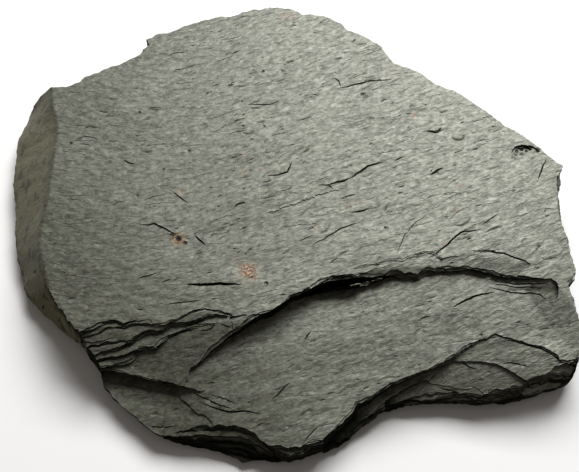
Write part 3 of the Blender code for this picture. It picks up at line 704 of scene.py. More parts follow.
def corner_heights(places, triangles, lines, chips):
    """The height of every corner of every triangle, each seen from its own triangle."""
    x, y = places[:, 0][triangles], places[:, 1][triangles]
    middle = places[triangles].mean(1)
    facet = facet_height(places[:, 0], places[:, 1])
    heights = np.minimum(TOP, facet)[triangles]
    depth = np.zeros(len(triangles))
    for name, (_, floor, undercut) in FLAKES.items():
        held = inside(lines[name], middle[:, 0], middle[:, 1])
        level = floor_height(floor, x[held], y[held])
        depth[held] = np.where((level < heights[held]).any(1), undercut, depth[held])
        heights[held] = np.minimum(heights[held], level)
    for outline, drop in chips:
        held = inside(outline, middle[:, 0], middle[:, 1])
        heights[held] -= drop(x[held], y[held])
    return np.maximum(heights, LOWEST_FLOOR), depth


# ---------------------------------------------------------------- chips and scales


def brink_chips(line, first, last, chip_count, seed, widths, drops):
    """Slivers lost along part of a closed line, on its outer side: outlines and drops."""
    source = random.Random(seed)
    turned = np.roll(line, -1, 0)
    clockwise = np.sum(line[:, 0] * turned[:, 1] - turned[:, 0] * line[:, 1]) < 0
    chips = []
    for _ in range(chip_count):
        span = source.randint(12, 46)
        start = source.randint(first, max(first, last - span))
        stretch = line[start:min(start + span, last)]
        if len(stretch) < 6:
            continue
        along = np.gradient(stretch, axis=0)
        away = np.stack([along[:, 1], -along[:, 0]], 1) * (-1 if clockwise else 1)
        away /= np.linalg.norm(away, axis=1, keepdims=True)
        bulge = np.sin(np.linspace(0.0, 1.0, len(stretch)) * math.pi) ** 0.7
        width = source.uniform(*widths) * bulge
        width *= [1 + 0.5 * noise.noise(Vector((px / 3, py / 3, seed))) for px, py in stretch]
        back = stretch + away * width[:, None]
        drop = source.uniform(*drops)
        chips.append((np.concatenate([stretch, back[::-1]]), flat_drop(drop)))
    return chips


def flat_drop(depth):
    """The same drop all over a chip."""
    return lambda x, y: np.full(x.shape, depth)


def scale_drop(centre, angle, length, width, depth):
    """A drop that is deepest along a scale's upper edge and runs out at its lower one."""
    cos, sin = math.cos(angle), math.sin(angle)

    def drop(x, y):
        u = ((x - centre[0]) * cos + (y - centre[1]) * sin) / length
        v = ((y - centre[1]) * cos - (x - centre[0]) * sin) / width
        ends = np.clip(1 - (2 * u) ** 2, 0, 1)
        return depth * ends * np.clip(v + 1 - 0.9 * ends, 0.02, 1)

    return drop


def scales():
    """Shallow scales over the cleaved faces, each with one sharp edge: outlines and drops."""
    source = random.Random(SCALE_SEED)
    found = []
    while len(found) < SCALE_COUNT:
        x, y = source.uniform(-104, 116), source.uniform(-104, 112)
        crowd = 0.35 * noise.noise(Vector((x / 38, y / 38, 2.0))) + (0.2 if x > -35 else -0.1)
        if source.random() > 0.5 + crowd:
            continue
        angle = float(grain_slope(x, y)) + source.gauss(0, 0.14)
        length = 4.0 + source.expovariate(1 / 5.0)
        width = min(0.9 + 0.22 * length * source.random(), 4.0)
        depth = source.uniform(0.12, 0.3) + 0.012 * length
        cos, sin = math.cos(angle), math.sin(angle)
        steps = max(4, round(length / 0.9))
        points = []
        for i in range(2 * steps):
            u = -0.5 + i / steps if i < steps else 1.5 - i / steps
            arch = max(0.0, 1 - (2 * u) ** 2) ** 0.8
            v = arch * (0.25 if i < steps else -0.9) + 0.12
            v += 0.35 * noise.noise(Vector((x + 3 * u * length, y, i // steps)))
            px, py = u * length, v * width
            points.append((x + px * cos - py * sin, y + px * sin + py * cos))
        drop = scale_drop((x, y), angle, length, width, depth)
        found.append((np.array(points), drop))
    return found


# ---------------------------------------------------------------- walls


def bed_levels():
    """Heights of the joints between the thin beds that show in every wall."""
    source = random.Random(5)
    levels = []
    height = 0.0
    while height < TOP + 2:
        height += source.uniform(*BED_GAPS)
        levels.append(height)
    return levels


LEVELS = bed_levels()


def neck(angle):
    """How far the base lies inside the girth, in one direction."""
    left = max(0.0, -math.cos(angle - math.radians(25)))
    front = max(0.0, -math.sin(angle))
    return NECK_BACK + (NECK_LEFT - NECK_BACK) * left**2 + (NECK_FRONT - NECK_BACK) * front**2


def lift(x, y):
    """Height of the underside at (x, y)."""
    height = 0.0
    for outline, roof in UNDERSIDE.values():
        held = inside(np.array(outline, float), np.array([x]), np.array([y]))[0]
        if held:
            height = max(height, float(plane_through(roof)(x, y)))
    return height


def wall_relief(x, y, height):
    """How far the bed at this height stands out of an outer wall."""
    where = Vector((x / 22, y / 22, height / 1.9))
    fine = noise.noise(Vector((x / 5, y / 5, height / 1.1)))
    return 0.95 * noise.noise(where) + 0.45 * fine


class Walls:
    """Upright chains of points at the edges, shared by all the walls that meet there."""

    def __init__(self, places, levels):
        self.places = places
        self.levels = levels
        self.known = {}
        self.chains = {}
        self.extra = []

    def add_height(self, place, height, number):
        self.known.setdefault(place, {})[round(height, 4)] = number

    def chain(self, place, count):
        """Heights and point numbers at this place, from top to bottom."""
        if place not in self.chains:
            fixed = self.known[place]
            high, low = max(fixed), min(fixed)
            chain = dict(fixed)
            for level in self.levels:
                if low < level < high and min(abs(level - h) for h in fixed) > 0.14:
                    chain[level] = count + len(self.extra)
                    self.extra.append((place, level))
            self.chains[place] = sorted(chain.items(), reverse=True)
        return self.chains[place]

    def stretch(self, place, high, low, count):
        """The part of a chain between two heights."""
        high, low = round(high, 4), round(low, 4)
        return [entry for entry in self.chain(place, count) if low <= entry[0] <= high]


def zip_chains(left, right):
    """Triangles between two upright chains, seen from outside with left on the left."""
    faces = []
    i = j = 0
    while i < len(left) - 1 or j < len(right) - 1:
        go_left = j == len(right) - 1 or (
            i < len(left) - 1 and left[i + 1][0] >= right[j + 1][0]
        )
        if go_left:
            faces.append((left[i][1], left[i + 1][1], right[j][1]))
            i += 1
        else:
            faces.append((left[i][1], right[j + 1][1], right[j][1]))
            j += 1
    return [face for face in faces if len(set(face)) == 3]


def top_corners(triangles, heights):
    """One point for each place and height: their numbers by corner, their places and heights."""
    key = triangles.astype(np.int64) * PLACE_STRIDE
    key = key + np.round(heights * STEPS_PER_MM).astype(np.int64)
    found, number = np.unique(key, return_inverse=True)
    return number.reshape(triangles.shape), found // PLACE_STRIDE, (found % PLACE_STRIDE) / STEPS_PER_MM


def pair_edges(triangles):
    """Each edge as (from, to, triangle, next triangle or -1), seen from its first triangle."""
    count = len(triangles)
    starts = triangles[:, [0, 1, 2]].ravel()
    ends = triangles[:, [1, 2, 0]].ravel()
    owner = np.repeat(np.arange(count), 3)
    low, high = np.minimum(starts, ends), np.maximum(starts, ends)
    order = np.lexsort((high, low))
    pairs = []
    i = 0
    low_list, high_list = low[order].tolist(), high[order].tolist()
    order_list = order.tolist()
    while i < len(order_list):
        a = order_list[i]
        twin = (
            i + 1 < len(order_list)
            and low_list[i + 1] == low_list[i]
            and high_list[i + 1] == high_list[i]
        )
        other = int(owner[order_list[i + 1]]) if twin else -1
        pairs.append((int(starts[a]), int(ends[a]), int(owner[a]), other))
        i += 2 if twin else 1
    return pairs


def corner_number(triangles, numbers, triangle, place):
    """The point that a triangle uses at one of its places."""
    return int(numbers[triangle][list(triangles[triangle]).index(place)])


def all_chips(girth, lines):
    """Every sliver and scale that is lost from the faces."""
    chips = []
    for i, (name, low, high, count, widths, drops) in enumerate(BRINKS):
        line = lines[name]
        first, last = int(low * len(line)), int(high * len(line))
        chips += brink_chips(line, first, last, count, 40 + i, widths, drops)
    for i, (low, high, count, widths, drops) in enumerate(RIM_CHIPS):
        first, last = int(low * len(girth)), int(high * len(girth))
        chips += brink_chips(girth, first, last, count, 60 + i, widths, drops)
    return chips + scales()


class Slab:
    """The points and faces of the slab while it is put together."""

    def __init__(self):
        self.girth = girth_line()
        self.lines = flake_lines()
        self.cracks = list(CRACKS.values()) + scattered_dashes_clear(self.lines)
        self.chips = all_chips(self.girth, self.lines)
        self.lay_out()
        self.raise_faces()
        self.build_walls()
        self.close_underside()

    def lay_out(self):
        """The flat pattern."""
        outlines = list(self.lines.values()) + [chip[0] for chip in self.chips]
        points, edges = line_pattern(self.girth, outlines)
        rows = [crack_rows(path, width)[1] for path, width, _ in self.cracks]
        pits = [pit_points(*pit) for pit in PITS]
        marks = np.concatenate(rows + pits)
        marks = marks[inside(self.girth * 0.99, marks[:, 0], marks[:, 1])]
        marks = clear_of(marks, points, 0.3)
        grid = spread_points(self.girth * 0.996, FACE_STEP, 1)
        grid = clear_of(grid, np.concatenate([points, marks]), CLEAR_OF_LINES)
        every = np.concatenate([points, marks, grid])
        self.places, self.triangles, _ = cut_pattern(every, edges, self.girth)

    def raise_faces(self):
        """Heights for the pattern, with one point for each floor that meets at a place."""
        heights, self.undercuts = corner_heights(
            self.places, self.triangles, self.lines, self.chips
        )
        numbers, where, height = top_corners(self.triangles, heights)
        self.numbers, self.where, self.height = numbers, where, height
        self.faces = [tuple(face) for face in numbers.tolist()]

    def build_walls(self):
        """Walls of thin beds between unlike floors and all round the slab."""
        pairs = pair_edges(self.triangles)
        self.sides = []
        for a, b, first, second in pairs:
            one = [corner_number(self.triangles, self.numbers, first, p) for p in (a, b)]
            two = [-1, -1]
            if second >= 0:
                two = [corner_number(self.triangles, self.numbers, second, p) for p in (a, b)]
            if one != two:
                self.sides.append((a, b, first, second, one, two))
        walls = Walls(self.places, LEVELS)
        used = {side[0] for side in self.sides} | {side[1] for side in self.sides}
        for number, place in enumerate(self.where.tolist()):
            if place in used:
                walls.add_height(place, float(self.height[number]), number)
        self.follow_rim()
        count = len(self.where) + len(self.rim)
        self.base_height = {}
        for i, place in enumerate(self.rim):
            x, y = self.places[place]
            lowest = min(walls.known[place])
            self.base_height[place] = min(lift(x * 0.97, y * 0.97), 6.0, lowest - 1.0)
            walls.add_height(place, self.base_height[place], len(self.where) + i)
        self.outward = {}
        for a, b, first, second, one, two in self.sides:
            self.add_wall(walls, count, a, b, first, second, one, two)
        self.walls, self.count = walls, count

    def follow_rim(self):
        """The places round the outline, in order."""
        after = {a: b for a, b, _, second, _, _ in self.sides if second < 0}
        place = next(iter(after))
        self.rim = []
        while place not in self.rim[:1]:
            self.rim.append(place)
            place = after[place]
        self.rim_set = set(self.rim)

    def add_wall(self, walls, count, a, b, first, second, one, two):
        """The wall under one edge, facing its lower side."""
        tall = [float(self.height[n]) for n in one]
        if second < 0:
            short = [self.base_height[a], self.base_height[b]]
        else:
            short = [float(self.height[n]) for n in two]
        chain = {}
        for place, p, q in ((a, tall[0], short[0]), (b, tall[1], short[1])):
            chain[place] = walls.stretch(place, max(p, q), min(p, q), count)
        crossed = (tall[0] - short[0]) * (tall[1] - short[1]) < 0
        turned = not crossed and sum(short) > sum(tall)
        if crossed:
            rising = a if tall[0] < short[0] else b
            chain[rising] = chain[rising][::-1]
        left, right = (b, a) if turned else (a, b)
        self.faces += zip_chains(chain[left], chain[right])
        if second >= 0:
            along = self.places[right] - self.places[left]
            facing = np.array([along[1], -along[0]]) / max(np.linalg.norm(along), 1e-9)
            drop = abs(sum(tall) - sum(short)) / 2
            lower = first if turned else second
            for place in (a, b):
                self.outward.setdefault(place, []).append((facing, drop, self.undercuts[lower]))

    def close_underside(self):
        """Positions for every point, then the faces below."""
        self.find_leans()
        spots = [self.top_spot(place, z) for place, z in zip(self.where, self.height)]
        spots += [self.wall_spot(place, self.base_height[place]) for place in self.rim]
        spots += [self.wall_spot(place, z) for place, z in self.walls.extra]
        below = np.array([spots[len(self.where) + i][:2] for i in range(len(self.rim))])
        grid = spread_points(below * 0.975, UNDER_STEP, 2)
        every = np.concatenate([below, grid])
        count = len(below)
        edges = [(i, (i + 1) % count) for i in range(count)]
        places, triangles, origin = cut_pattern(every, edges, below)
        number = []
        for i, (x, y) in enumerate(places):
            ring = [j for j in origin[i] if j < count]
            if ring:
                number.append(len(self.where) + ring[0])
            else:
                number.append(len(spots))
                spots.append((x, y, lift(x, y)))
        self.faces += [tuple(number[i] for i in face[::-1]) for face in triangles]
        self.spots = np.array(spots)
        bottom = len(spots) - len(self.where) - len(self.rim) - len(self.walls.extra)
        wall_places = [place for place, _ in self.walls.extra]
        self.flat = np.concatenate([
            self.places[self.where], self.places[self.rim],
            self.places[wall_places], self.spots[len(spots) - bottom:, :2],
        ])

    def top_spot(self, place, height):
        """Where a point of a face goes: feet of undercut walls draw in under their lips."""
        x, y = self.places[place]
        if place in self.outward and place not in self.rim_set:
            known = self.walls.known[place]
            if height < max(known) - 0.5:
                return self.wall_spot(place, height)
        return (*self.lean_in(place, x, y, height), height)

    def lean_in(self, place, x, y, height):
        """Draw the beds near the outline back, the more so the higher they lie."""
        inward, amount = self.leans[place]
        amount *= min(1.5, max(0.0, (height - LEAN_FROM) / 8))
        return x + inward[0] * amount, y + inward[1] * amount

    def find_leans(self):
        """Which way each place leans and how much: none beyond the rim's own strip."""
        along = np.roll(self.girth, -5, 0) - np.roll(self.girth, 5, 0)
        inward = np.stack([-along[:, 1], along[:, 0]], 1)
        inward /= np.linalg.norm(inward, axis=1, keepdims=True)
        if np.sum(inward * self.girth) > 0:
            inward = -inward
        tree = KDTree(len(self.girth))
        for i, (x, y) in enumerate(self.girth):
            tree.insert((x, y, 0.0), i)
        tree.balance()
        self.leans = []
        for x, y in self.places:
            _, nearest, away = tree.find((x, y, 0.0))
            strip = max(0.0, 1 - away / LEAN_STRIP) ** 2
            front = min(1.0, max(0.0, (-60 - y) / 25))
            uneven = noise.noise(Vector((x / 9, y / 9, 31.0)))
            amount = LEAN_SIDES + (LEAN_FRONT - LEAN_SIDES) * front + 1.1 * uneven
            self.leans.append((inward[nearest], strip * max(0.0, amount)))

    def wall_spot(self, place, height):
        """Where a point of a wall goes, in or out by its bed."""
        x, y = self.places[place]
        top = max(self.walls.known[place])
        fade = min(1.0, (top - height) / 1.3)
        if place in self.rim_set:
            angle = math.atan2(y, x)
            draw_in = neck(angle) * max(0.0, 1 - height / GIRTH_HEIGHT) ** 1.5
            out = wall_relief(x, y, height) * fade * (0.4 if height < 0.1 else 1.0) - draw_in
            reach = math.hypot(x, y)
            x, y = self.lean_in(place, x, y, height)
            return (x * (1 + out / reach), y * (1 + out / reach), height)
        entries = self.outward[place]
        facing = sum(entry[0] * entry[1] for entry in entries)
        facing = facing / max(float(np.linalg.norm(facing)), 1e-9)
        drop = max(entry[1] for entry in entries)
        undercut = max(entry[2] for entry in entries) * min(1.0, drop / 3.0)
        share = (top - height) / max(top - min(self.walls.known[place]), 1e-6)
        out = 0.3 * wall_relief(x, y, height) * fade * min(1.0, drop / 2)
        out -= undercut * max(0.0, share) ** 0.6
        x, y = self.lean_in(place, x, y, height)
        return (x + facing[0] * out, y + facing[1] * out, height)


def scattered_dashes_clear(lines):
    """The scattered dashes that keep away from every ledge."""
    taken = np.concatenate(list(lines.values()))
    tree = KDTree(len(taken))
    for i, (x, y) in enumerate(taken):
        tree.insert((x, y, 0.0), i)
    tree.balance()
    kept = []
    for dash in scattered_dashes():
        if all(tree.find((x, y, 0.0))[2] > 1.2 for x, y in dash[0]):
            kept.append(dash)
    return kept


def pit_points(x, y, radius):
    """A middle, a floor ring and a rim ring for a small pit."""
    points = [(x, y)]
    for share, count in ((0.55, 6), (1.0, 10)):
        for i in range(count):
            turn = math.tau * i / count + share
            reach = radius * share * (1 + 0.2 * noise.noise(Vector((x + i, y, 3.0))))
            points.append((x + reach * math.cos(turn), y + reach * math.sin(turn)))
    return np.array(points)


def groove_depths(flat, cracks):
    """How deep the cracks and pits are at every point, and how far inside one it lies."""
    depth = np.zeros(len(flat))
    mark = np.zeros(len(flat))
    x, y = flat[:, 0], flat[:, 1]
    for path, half_width, deep in cracks:
        line = crack_rows(path, half_width)[0]
        low, high = line.min(0) - 1, line.max(0) + 1
        near = np.flatnonzero((x > low[0]) & (x < high[0]) & (y > low[1]) & (y < high[1]))
        widths = np.array(taper(len(line))) * half_width
        gap = np.hypot(x[near, None] - line[:, 0], y[near, None] - line[:, 1])
        best = gap.argmin(1)
        away = distance_to(line, x[near], y[near])
        share = np.clip(1 - away / widths[best], 0, 1) * (widths[best] / half_width)
        depth[near] = np.maximum(depth[near], deep * share)
        mark[near] = np.maximum(mark[near], share)
    for px, py, radius in PITS:
        share = np.clip(1 - np.hypot(x - px, y - py) / radius, 0, 1)
        depth = np.maximum(depth, 0.7 * radius * share**0.6)
        mark = np.maximum(mark, share**0.5)
    return depth, mark


def stain(flat, spots):
    """How strongly each point is stained by a list of soft spots."""
    found = np.zeros(len(flat))
    for sx, sy, radius, strength in spots:
        away = np.hypot(flat[:, 0] - sx, flat[:, 1] - sy) / radius
        found = np.maximum(found, strength * (1 - smooth_step(away)))
    return found


def add_channel(data, name, values):
    """Store one number for each point, for the material to read."""
    channel = data.attributes.new(name, "FLOAT", "POINT")
    channel.data.foreach_set("value", np.asarray(values, np.float32))


def grain_field(flat):
    """A coordinate that stays the same along the bending grain."""
    ramp = np.clip((-30 - flat[:, 0]) / 80, 0, 1)
    ahead = np.tan(np.radians(20)) * flat[:, 0]
    bend = np.tan(np.radians(20)) + np.tan(np.radians(6))
    turned = np.where(flat[:, 0] < -30, bend * 40 * ramp**2, 0.0)
    return flat[:, 1] - ahead - turned


def slab_mesh():
    """The slab's mesh in millimetres, with its channels."""
    slab = Slab()
    spots, flat = slab.spots, slab.flat
    depth, mark = groove_depths(flat, slab.cracks)
    top_count = len(slab.where)
    depth[top_count:] = 0
    mark[top_count:] = 0
    share = np.minimum(1.0, spots[:, 2] / GIRTH_HEIGHT)
    rise = np.array([face_swell(x, y) + fine_relief(x, y) for x, y in flat])
    spots[:, 2] += (rise - depth) * share
    data = bpy.data.meshes.new("slate_slab_stone")
    data.from_pydata(spots.tolist(), [], slab.faces)
    data.update()
    add_channel(data, "crack", mark)
    add_channel(data, "rust", stain(flat, RUST_SPOTS))
    facet = facet_height(flat[:, 0], flat[:, 1])
    add_channel(data, "facet", np.clip((TOP - facet) / 2.5, 0, 1))
    add_channel(data, "grain", grain_field(flat))
    return data


# ---------------------------------------------------------------- fit to the solid

EYE = (0.0, -215.27, 364.82)
LOOK_AT = (0.0, -18.5, 24.0)
VIEW_ANGLE = math.radians(36.0)
SENSOR_WIDTH = 36.0
BOX_MARGIN = 0.00001
SHARP_ANGLE = math.radians(42.0)


def fit_to_box(data):
    """Scale and shift the mesh into the solid's box, and return the same change for a point."""
    points = np.empty(len(data.vertices) * 3, np.float32)
    data.vertices.foreach_get("co", points)
    points = points.reshape(-1, 3)
    low, high = points.min(0), points.max(0)
    box_low, box_high = (np.array(corner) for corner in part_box(NODE))
    box_low, box_high = box_low + BOX_MARGIN, box_high - BOX_MARGIN
    scale = (box_high - box_low) / (high - low)

    def moved(point):
        return box_low + (np.array(point) - low) * scale

    data.vertices.foreach_set("co", moved(points).astype(np.float32).ravel())
    data.update()
    return moved


def make_slab():
    """The slab as an object in metres, and the change that fitted it."""
    data = slab_mesh()
    moved = fit_to_box(data)
    data.shade_smooth()
    data.set_sharp_from_angle(angle=SHARP_ANGLE)
    piece = bpy.data.objects.new("slate_slab_stone", data)
    bpy.context.scene.collection.objects.link(piece)
    return piece, moved


# ---------------------------------------------------------------- materials

SLATE = (0.046, 0.047, 0.035)
SLATE_PALE = (0.090, 0.092, 0.072)
SLATE_DARK = (0.022, 0.022, 0.016)
# Edge colour: darker broken stone, and painted shade on walls and hollows.
SLATE_EDGE_AND_SHADE = (0.006, 0.006, 0.005)
OLIVE = (0.116, 0.110, 0.066)
LICHEN = (0.088, 0.094, 0.052)
RUST = (0.170, 0.066, 0.026)
CRYSTAL = (0.520, 0.370, 0.270)
# Crack colour: painted shade in cracks and pits.
CRACK_SHADE = (0.008, 0.008, 0.007)
FLOOR = (0.78, 0.775, 0.77)


class Nodes:
    """A short way to build a node tree."""

    def __init__(self, name):
        self.material = bpy.data.materials.new(name)
        self.material.use_nodes = True
        self.tree = self.material.node_tree
        self.shader = self.tree.nodes["Principled BSDF"]

    def add(self, kind, inputs, **settings):
        """A node with its settings, and its sockets set or joined by name or number."""
        node = self.tree.nodes.new(kind)
        for name, value in settings.items():
            setattr(node, name, value)
        for name, value in inputs.items():
            self.feed(node.inputs[name], value)
        return node

    def feed(self, socket, value):
        """Set a socket, or join it to another."""
        if isinstance(value, bpy.types.NodeSocket):
            self.tree.links.new(value, socket)
        elif isinstance(value, tuple) and len(socket.default_value) > len(value):
            socket.default_value = (*value, 1.0)
        else:
            socket.default_value = value

    def maths(self, operation, a, b=0.0):
        return self.add("ShaderNodeMath", {0: a, 1: b}, operation=operation).outputs[0]

    def stretched(self, x, y, z, sizes):
        """A coordinate whose unit lengths are the sizes in millimetres."""
        parts = [self.maths("DIVIDE", axis, size) for axis, size in zip((x, y, z), sizes)]
        return self.add("ShaderNodeCombineXYZ", dict(enumerate(parts))).outputs[0]

    def noise(self, vector, detail=2.0, roughness=0.5, distortion=0.0):
        node = self.add(
            "ShaderNodeTexNoise",
            {"Vector": vector, "Scale": 1.0, "Detail": detail, "Roughness": roughness,
             "Distortion": distortion},
        )
        return node.outputs["Fac"]

    def span(self, value, low, high, to_low=0.0, to_high=1.0):
        """The value carried from one range to another, smoothly, with its ends held."""
        node = self.add(
            "ShaderNodeMapRange",
            {"Value": value, "From Min": low, "From Max": high, "To Min": to_low,
             "To Max": to_high},
            interpolation_type="SMOOTHSTEP",
        )
        return node.outputs["Result"]

    def mix(self, factor, a, b, blend="MIX"):
        node = self.tree.nodes.new("ShaderNodeMix")
        node.data_type = "RGBA"
        node.blend_type = blend
        for socket, value in ((0, factor), (6, a), (7, b)):
            self.feed(node.inputs[socket], value)
        return node.outputs[2]

    def channel(self, name):
        return self.add("ShaderNodeAttribute", {}, attribute_name=name).outputs["Fac"]


def slate_material():
    """Grey-green slate: stretched grain on the faces, thin beds on the broken edges, painted shade on
    the edges, hollows and cracks, and a gloss painted to fall off across the slab.
    """
    n = Nodes("slate_stone")
    place = n.add("ShaderNodeTexCoord", {})
    in_mm = n.add(
        "ShaderNodeVectorMath", {0: place.outputs["Object"], 3: 1 / MM}, operation="SCALE"
    )
    parts = n.add("ShaderNodeSeparateXYZ", {0: in_mm.outputs[0]}).outputs
    x, y, z = parts
    facing = n.add("ShaderNodeSeparateXYZ", {0: place.outputs["Normal"]}).outputs[2]
    facet = n.channel("facet")
    bare = n.maths("SUBTRACT", 1.0, facet)
    # Steep faces, and everything off the facet that lies below about 8 mm, take painted shade as well
    # as the darker colour of broken stone.
    deep = n.maths("MULTIPLY", n.span(z, 8.2, 6.6), bare)
    edge = n.maths("MAXIMUM", n.maths("MULTIPLY", n.span(facing, 0.72, 0.35), bare), deep)
    grain = n.channel("grain")
    crack = n.channel("crack")

    # Colour of the cleaved faces: soft dashes along the grain, blotches, pale grains.
    warp = n.noise(n.stretched(x, y, z, (5.0, 4.0, 4.0)), 2.0, 0.5)
    bent = n.maths("ADD", grain, n.maths("MULTIPLY", warp, 3.0))
    long_streaks = n.noise(n.stretched(x, bent, z, (10.0, 3.0, 3.0)), 2.0, 0.5, 0.5)
    short_streaks = n.noise(n.stretched(x, bent, z, (4.5, 1.9, 1.5)), 2.0, 0.6, 0.4)
    dashes = n.noise(n.stretched(x, bent, z, (5.5, 1.6, 2.0)), 2.0, 0.5, 0.3)
    clouds = n.noise(n.stretched(x, y, z, (34.0, 26.0, 20.0)), 3.0, 0.55)
    speckle = n.noise(n.stretched(x, y, z, (1.5, 1.0, 1.0)), 1.0, 0.5)
    mottle = n.noise(n.stretched(x, bent, z, (3.8, 2.3, 2.0)), 3.0, 0.7)
    grit = n.noise(n.stretched(x, y, z, (1.7, 1.3, 1.3)), 2.0, 0.6)
    shade = n.mix(n.span(clouds, 0.3, 0.7), SLATE_DARK, SLATE_PALE)
    colour = n.mix(0.62, shade, SLATE)
    colour = n.mix(n.span(long_streaks, 0.42, 0.72, 0.0, 0.45), colour, SLATE_PALE)
    colour = n.mix(n.span(short_streaks, 0.50, 0.30, 0.0, 0.65), colour, SLATE_DARK)
    colour = n.mix(n.span(dashes, 0.42, 0.26, 0.0, 0.7), colour, SLATE_DARK)
    colour = n.mix(n.span(mottle, 0.50, 0.70, 0.0, 0.45), colour, SLATE_PALE)
    colour = n.mix(n.span(mottle, 0.48, 0.30, 0.0, 0.55), colour, SLATE_DARK)
    colour = n.mix(n.span(speckle, 0.64, 0.80, 0.0, 0.25), colour, SLATE_PALE)
    colour = n.mix(n.span(speckle, 0.36, 0.22, 0.0, 0.45), colour, SLATE_DARK)
    colour = n.mix(n.span(grit, 0.50, 0.66, 0.0, 0.45), colour, LICHEN)
    colour = n.mix(n.span(grit, 0.46, 0.30, 0.0, 0.45), colour, SLATE_DARK)
    colour = n.mix(n.maths("MULTIPLY", facet, 0.75), colour, OLIVE)
    patches = n.noise(n.stretched(x, y, z, (5.0, 8.0, 5.0)), 3.0, 0.6)
    patches = n.maths("MULTIPLY", facet, n.span(patches, 0.50, 0.34, 0.0, 0.7))
    colour = n.mix(patches, colour, SLATE_DARK)

    # Broken edges and low hollows: fine level beds, darker than the faces, partly as darker broken
    # stone and partly as painted shade on the walls and hollows.
    beds = n.noise(n.stretched(x, y, z, (16.0, 16.0, 0.8)), 3.0, 0.6)
    edge_and_shade_colour = n.mix(n.span(beds, 0.42, 0.72), SLATE_EDGE_AND_SHADE, SLATE_DARK)
    colour = n.mix(edge, colour, edge_and_shade_colour)

    # Stains, then cracks and pits painted near black as painted shade in them.
    blotch = n.noise(n.stretched(x, grain, z, (2.6, 1.3, 2.0)), 3.0, 0.6)
    rusty = n.maths("MULTIPLY", n.channel("rust"), n.span(blotch, 0.34, 0.54))
    sparkle = n.noise(n.stretched(x, y, z, (1.0, 1.0, 1.0)), 2.0, 0.6)
    stain_colour = n.mix(n.span(sparkle, 0.47, 0.60), RUST, CRYSTAL)
    colour = n.mix(rusty, colour, stain_colour)
    # Painted shade: cracks and pits near black.
    colour = n.mix(n.span(crack, 0.15, 0.8), colour, CRACK_SHADE)
    n.feed(n.shader.inputs["Base Color"], colour)

    # Gloss. Part of it is painted light: it rises towards the back right and falls towards the lower
    # left and the front as painted falloff of the window light, lifts on the front right shelf, and
    # drops on walls, steep faces and hollows as painted shade. Rust, dashes, mottle and grit vary it as
    # the stone's own sheen.
    rough = n.span(short_streaks, 0.3, 0.7, 0.60, 0.52)
    rough = n.maths("ADD", rough, n.maths("MULTIPLY", edge, 0.15))
    n.feed(n.shader.inputs["Roughness"], rough)
    # Painted falloff across the slab: more gloss to the back right, less to the lower left.
    gloss_with_painted_falloff = n.maths("ADD", n.maths("MULTIPLY", x, 0.85), n.maths("MULTIPLY", y, 0.3))
    gloss_with_painted_falloff = n.maths("MULTIPLY", n.span(gloss_with_painted_falloff, -95, 85, 0.36, 0.60), n.span(facing, 0.45, 0.85))
    gloss_with_painted_falloff = n.maths("MULTIPLY", gloss_with_painted_falloff, n.span(n.maths("ADD", x, y), -120, -70, 0.66, 1.0))
    # Painted falloff: less gloss towards the front, and a painted lift on the front right shelf.
    low = n.maths("SUBTRACT", y, n.maths("MULTIPLY", x, 0.35))
    gloss_with_painted_falloff = n.maths("MULTIPLY", gloss_with_painted_falloff, n.span(low, -105, -45, 0.78, 1.0))
    gloss_with_painted_falloff = n.maths("MULTIPLY", gloss_with_painted_falloff, n.span(low, -116, -98, 1.4, 1.0))
    for value, start, end, gloss_at_start, gloss_at_end in (
        (rusty, 0.0, 0.8, 1.0, 0.25),
        (edge, 0.0, 1.0, 1.0, 0.15),
        (dashes, 0.26, 0.42, 0.7, 1.0),
        (mottle, 0.30, 0.70, 0.72, 1.26),
        (grit, 0.32, 0.68, 0.85, 1.15),
    ):
        gloss_with_painted_falloff = n.maths("MULTIPLY", gloss_with_painted_falloff, n.span(value, start, end, gloss_at_start, gloss_at_end))
    n.feed(n.shader.inputs["Specular IOR Level"], gloss_with_painted_falloff)
    n.shader.inputs["IOR"].default_value = 1.75
    n.shader.inputs["Specular Tint"].default_value = (0.98, 1.0, 0.87, 1.0)

    # Relief.
    coarse = n.maths("ADD", long_streaks, n.maths("MULTIPLY", short_streaks, 0.8))
    coarse = n.maths("SUBTRACT", coarse, n.span(dashes, 0.40, 0.24, 0.0, 0.35))
    beds_relief = n.maths("MULTIPLY", beds, 1.6)
    relief = n.add("ShaderNodeMix", {0: edge, 2: coarse, 3: beds_relief}).outputs[0]
    first = n.add(
        "ShaderNodeBump", {"Height": relief, "Strength": 1.0, "Distance": 0.00035}
    )
    fine = n.noise(n.stretched(x, bent, z, (1.5, 1.0, 0.8)), 2.0, 0.6, 0.3)
    second = n.add(
        "ShaderNodeBump",
        {"Height": fine, "Strength": 1.0, "Distance": 0.00006, "Normal": first.outputs[0]},
    )
    n.feed(n.shader.inputs["Normal"], second.outputs[0])
    return n.material


def floor_material():
    """Matt pale board."""
    n = Nodes("pale_floor")
    place = n.add("ShaderNodeTexCoord", {}).outputs["Object"]
    cloud = n.add("ShaderNodeTexNoise", {"Vector": place, "Scale": 3.0}).outputs["Fac"]
    n.feed(n.shader.inputs["Base Color"], n.mix(cloud, FLOOR, (0.78, 0.78, 0.78)))
    n.shader.inputs["Roughness"].default_value = 0.7
    n.shader.inputs["Specular IOR Level"].default_value = 0.2
    return n.material


# ---------------------------------------------------------------- floor, light and camera

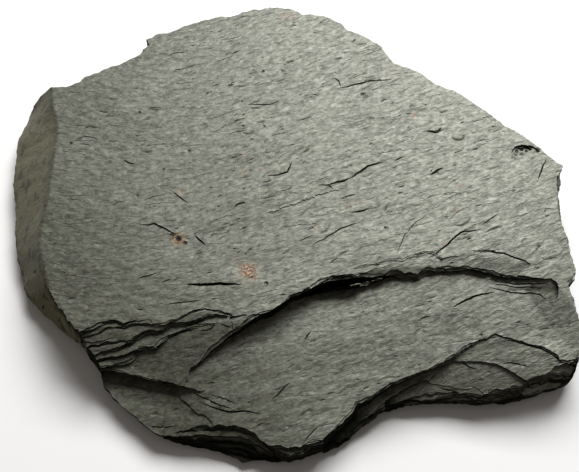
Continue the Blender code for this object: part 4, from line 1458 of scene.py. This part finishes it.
LIGHT_TURN = math.radians(15.0)
LIGHT_RISE = math.radians(46.0)
LIGHT_AWAY = 1.6
LIGHT_SIZE = (1.15, 0.8)
LIGHT_POWER = 46.0
FILL_POWER = 0.16


def make_floor():
    """A wide board under the slab."""
    data = bpy.data.meshes.new("floor")
    half = 3.0
    corners = [(-half, -half, 0), (half, -half, 0), (half, half, 0), (-half, half, 0)]
    data.from_pydata(corners, [], [(0, 1, 2, 3)])
    floor = bpy.data.objects.new("floor", data)
    data.materials.append(floor_material())
    bpy.context.scene.collection.objects.link(floor)


def look_from(obj, position, target):
    """Place a camera or light and turn it to its target."""
    away = Vector(target) - Vector(position)
    obj.matrix_world = Matrix.Translation(position) @ away.to_track_quat(
        "-Z", "Y"
    ).to_matrix().to_4x4()
    bpy.context.scene.collection.objects.link(obj)


def make_light():
    """A tall window behind the slab, to the right, and a faint fill from the room."""
    light = bpy.data.lights.new("window", "AREA")
    light.shape = "RECTANGLE"
    light.size, light.size_y = LIGHT_SIZE
    light.energy = LIGHT_POWER
    reach = LIGHT_AWAY * math.cos(LIGHT_RISE)
    position = (
        reach * math.sin(LIGHT_TURN), reach * math.cos(LIGHT_TURN),
        LIGHT_AWAY * math.sin(LIGHT_RISE),
    )
    look_from(bpy.data.objects.new("window", light), position, (0, 0, 0))
    world = bpy.data.worlds.new("room")
    world.use_nodes = True
    world.node_tree.nodes["Background"].inputs["Strength"].default_value = FILL_POWER
    world.node_tree.nodes["Background"].inputs["Color"].default_value = (1.0, 0.93, 0.86, 1.0)
    bpy.context.scene.world = world


def make_camera(moved):
    """The camera, aimed at the point of the fitted slab that it looks at."""
    view = bpy.data.cameras.new("camera")
    view.sensor_width = SENSOR_WIDTH
    view.lens = SENSOR_WIDTH / 2 / math.tan(VIEW_ANGLE / 2)
    camera = bpy.data.objects.new("camera", view)
    target = moved(LOOK_AT)
    look_from(camera, target + (np.array(EYE) - LOOK_AT) * MM, target)
    bpy.context.scene.camera = camera


slab, fitted = make_slab()
slab.data.materials.append(slate_material())
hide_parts(NODE)
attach(slab, "root")
make_floor()
make_light()
make_camera(fitted)
bpy.context.scene.view_settings.view_transform = "Standard"
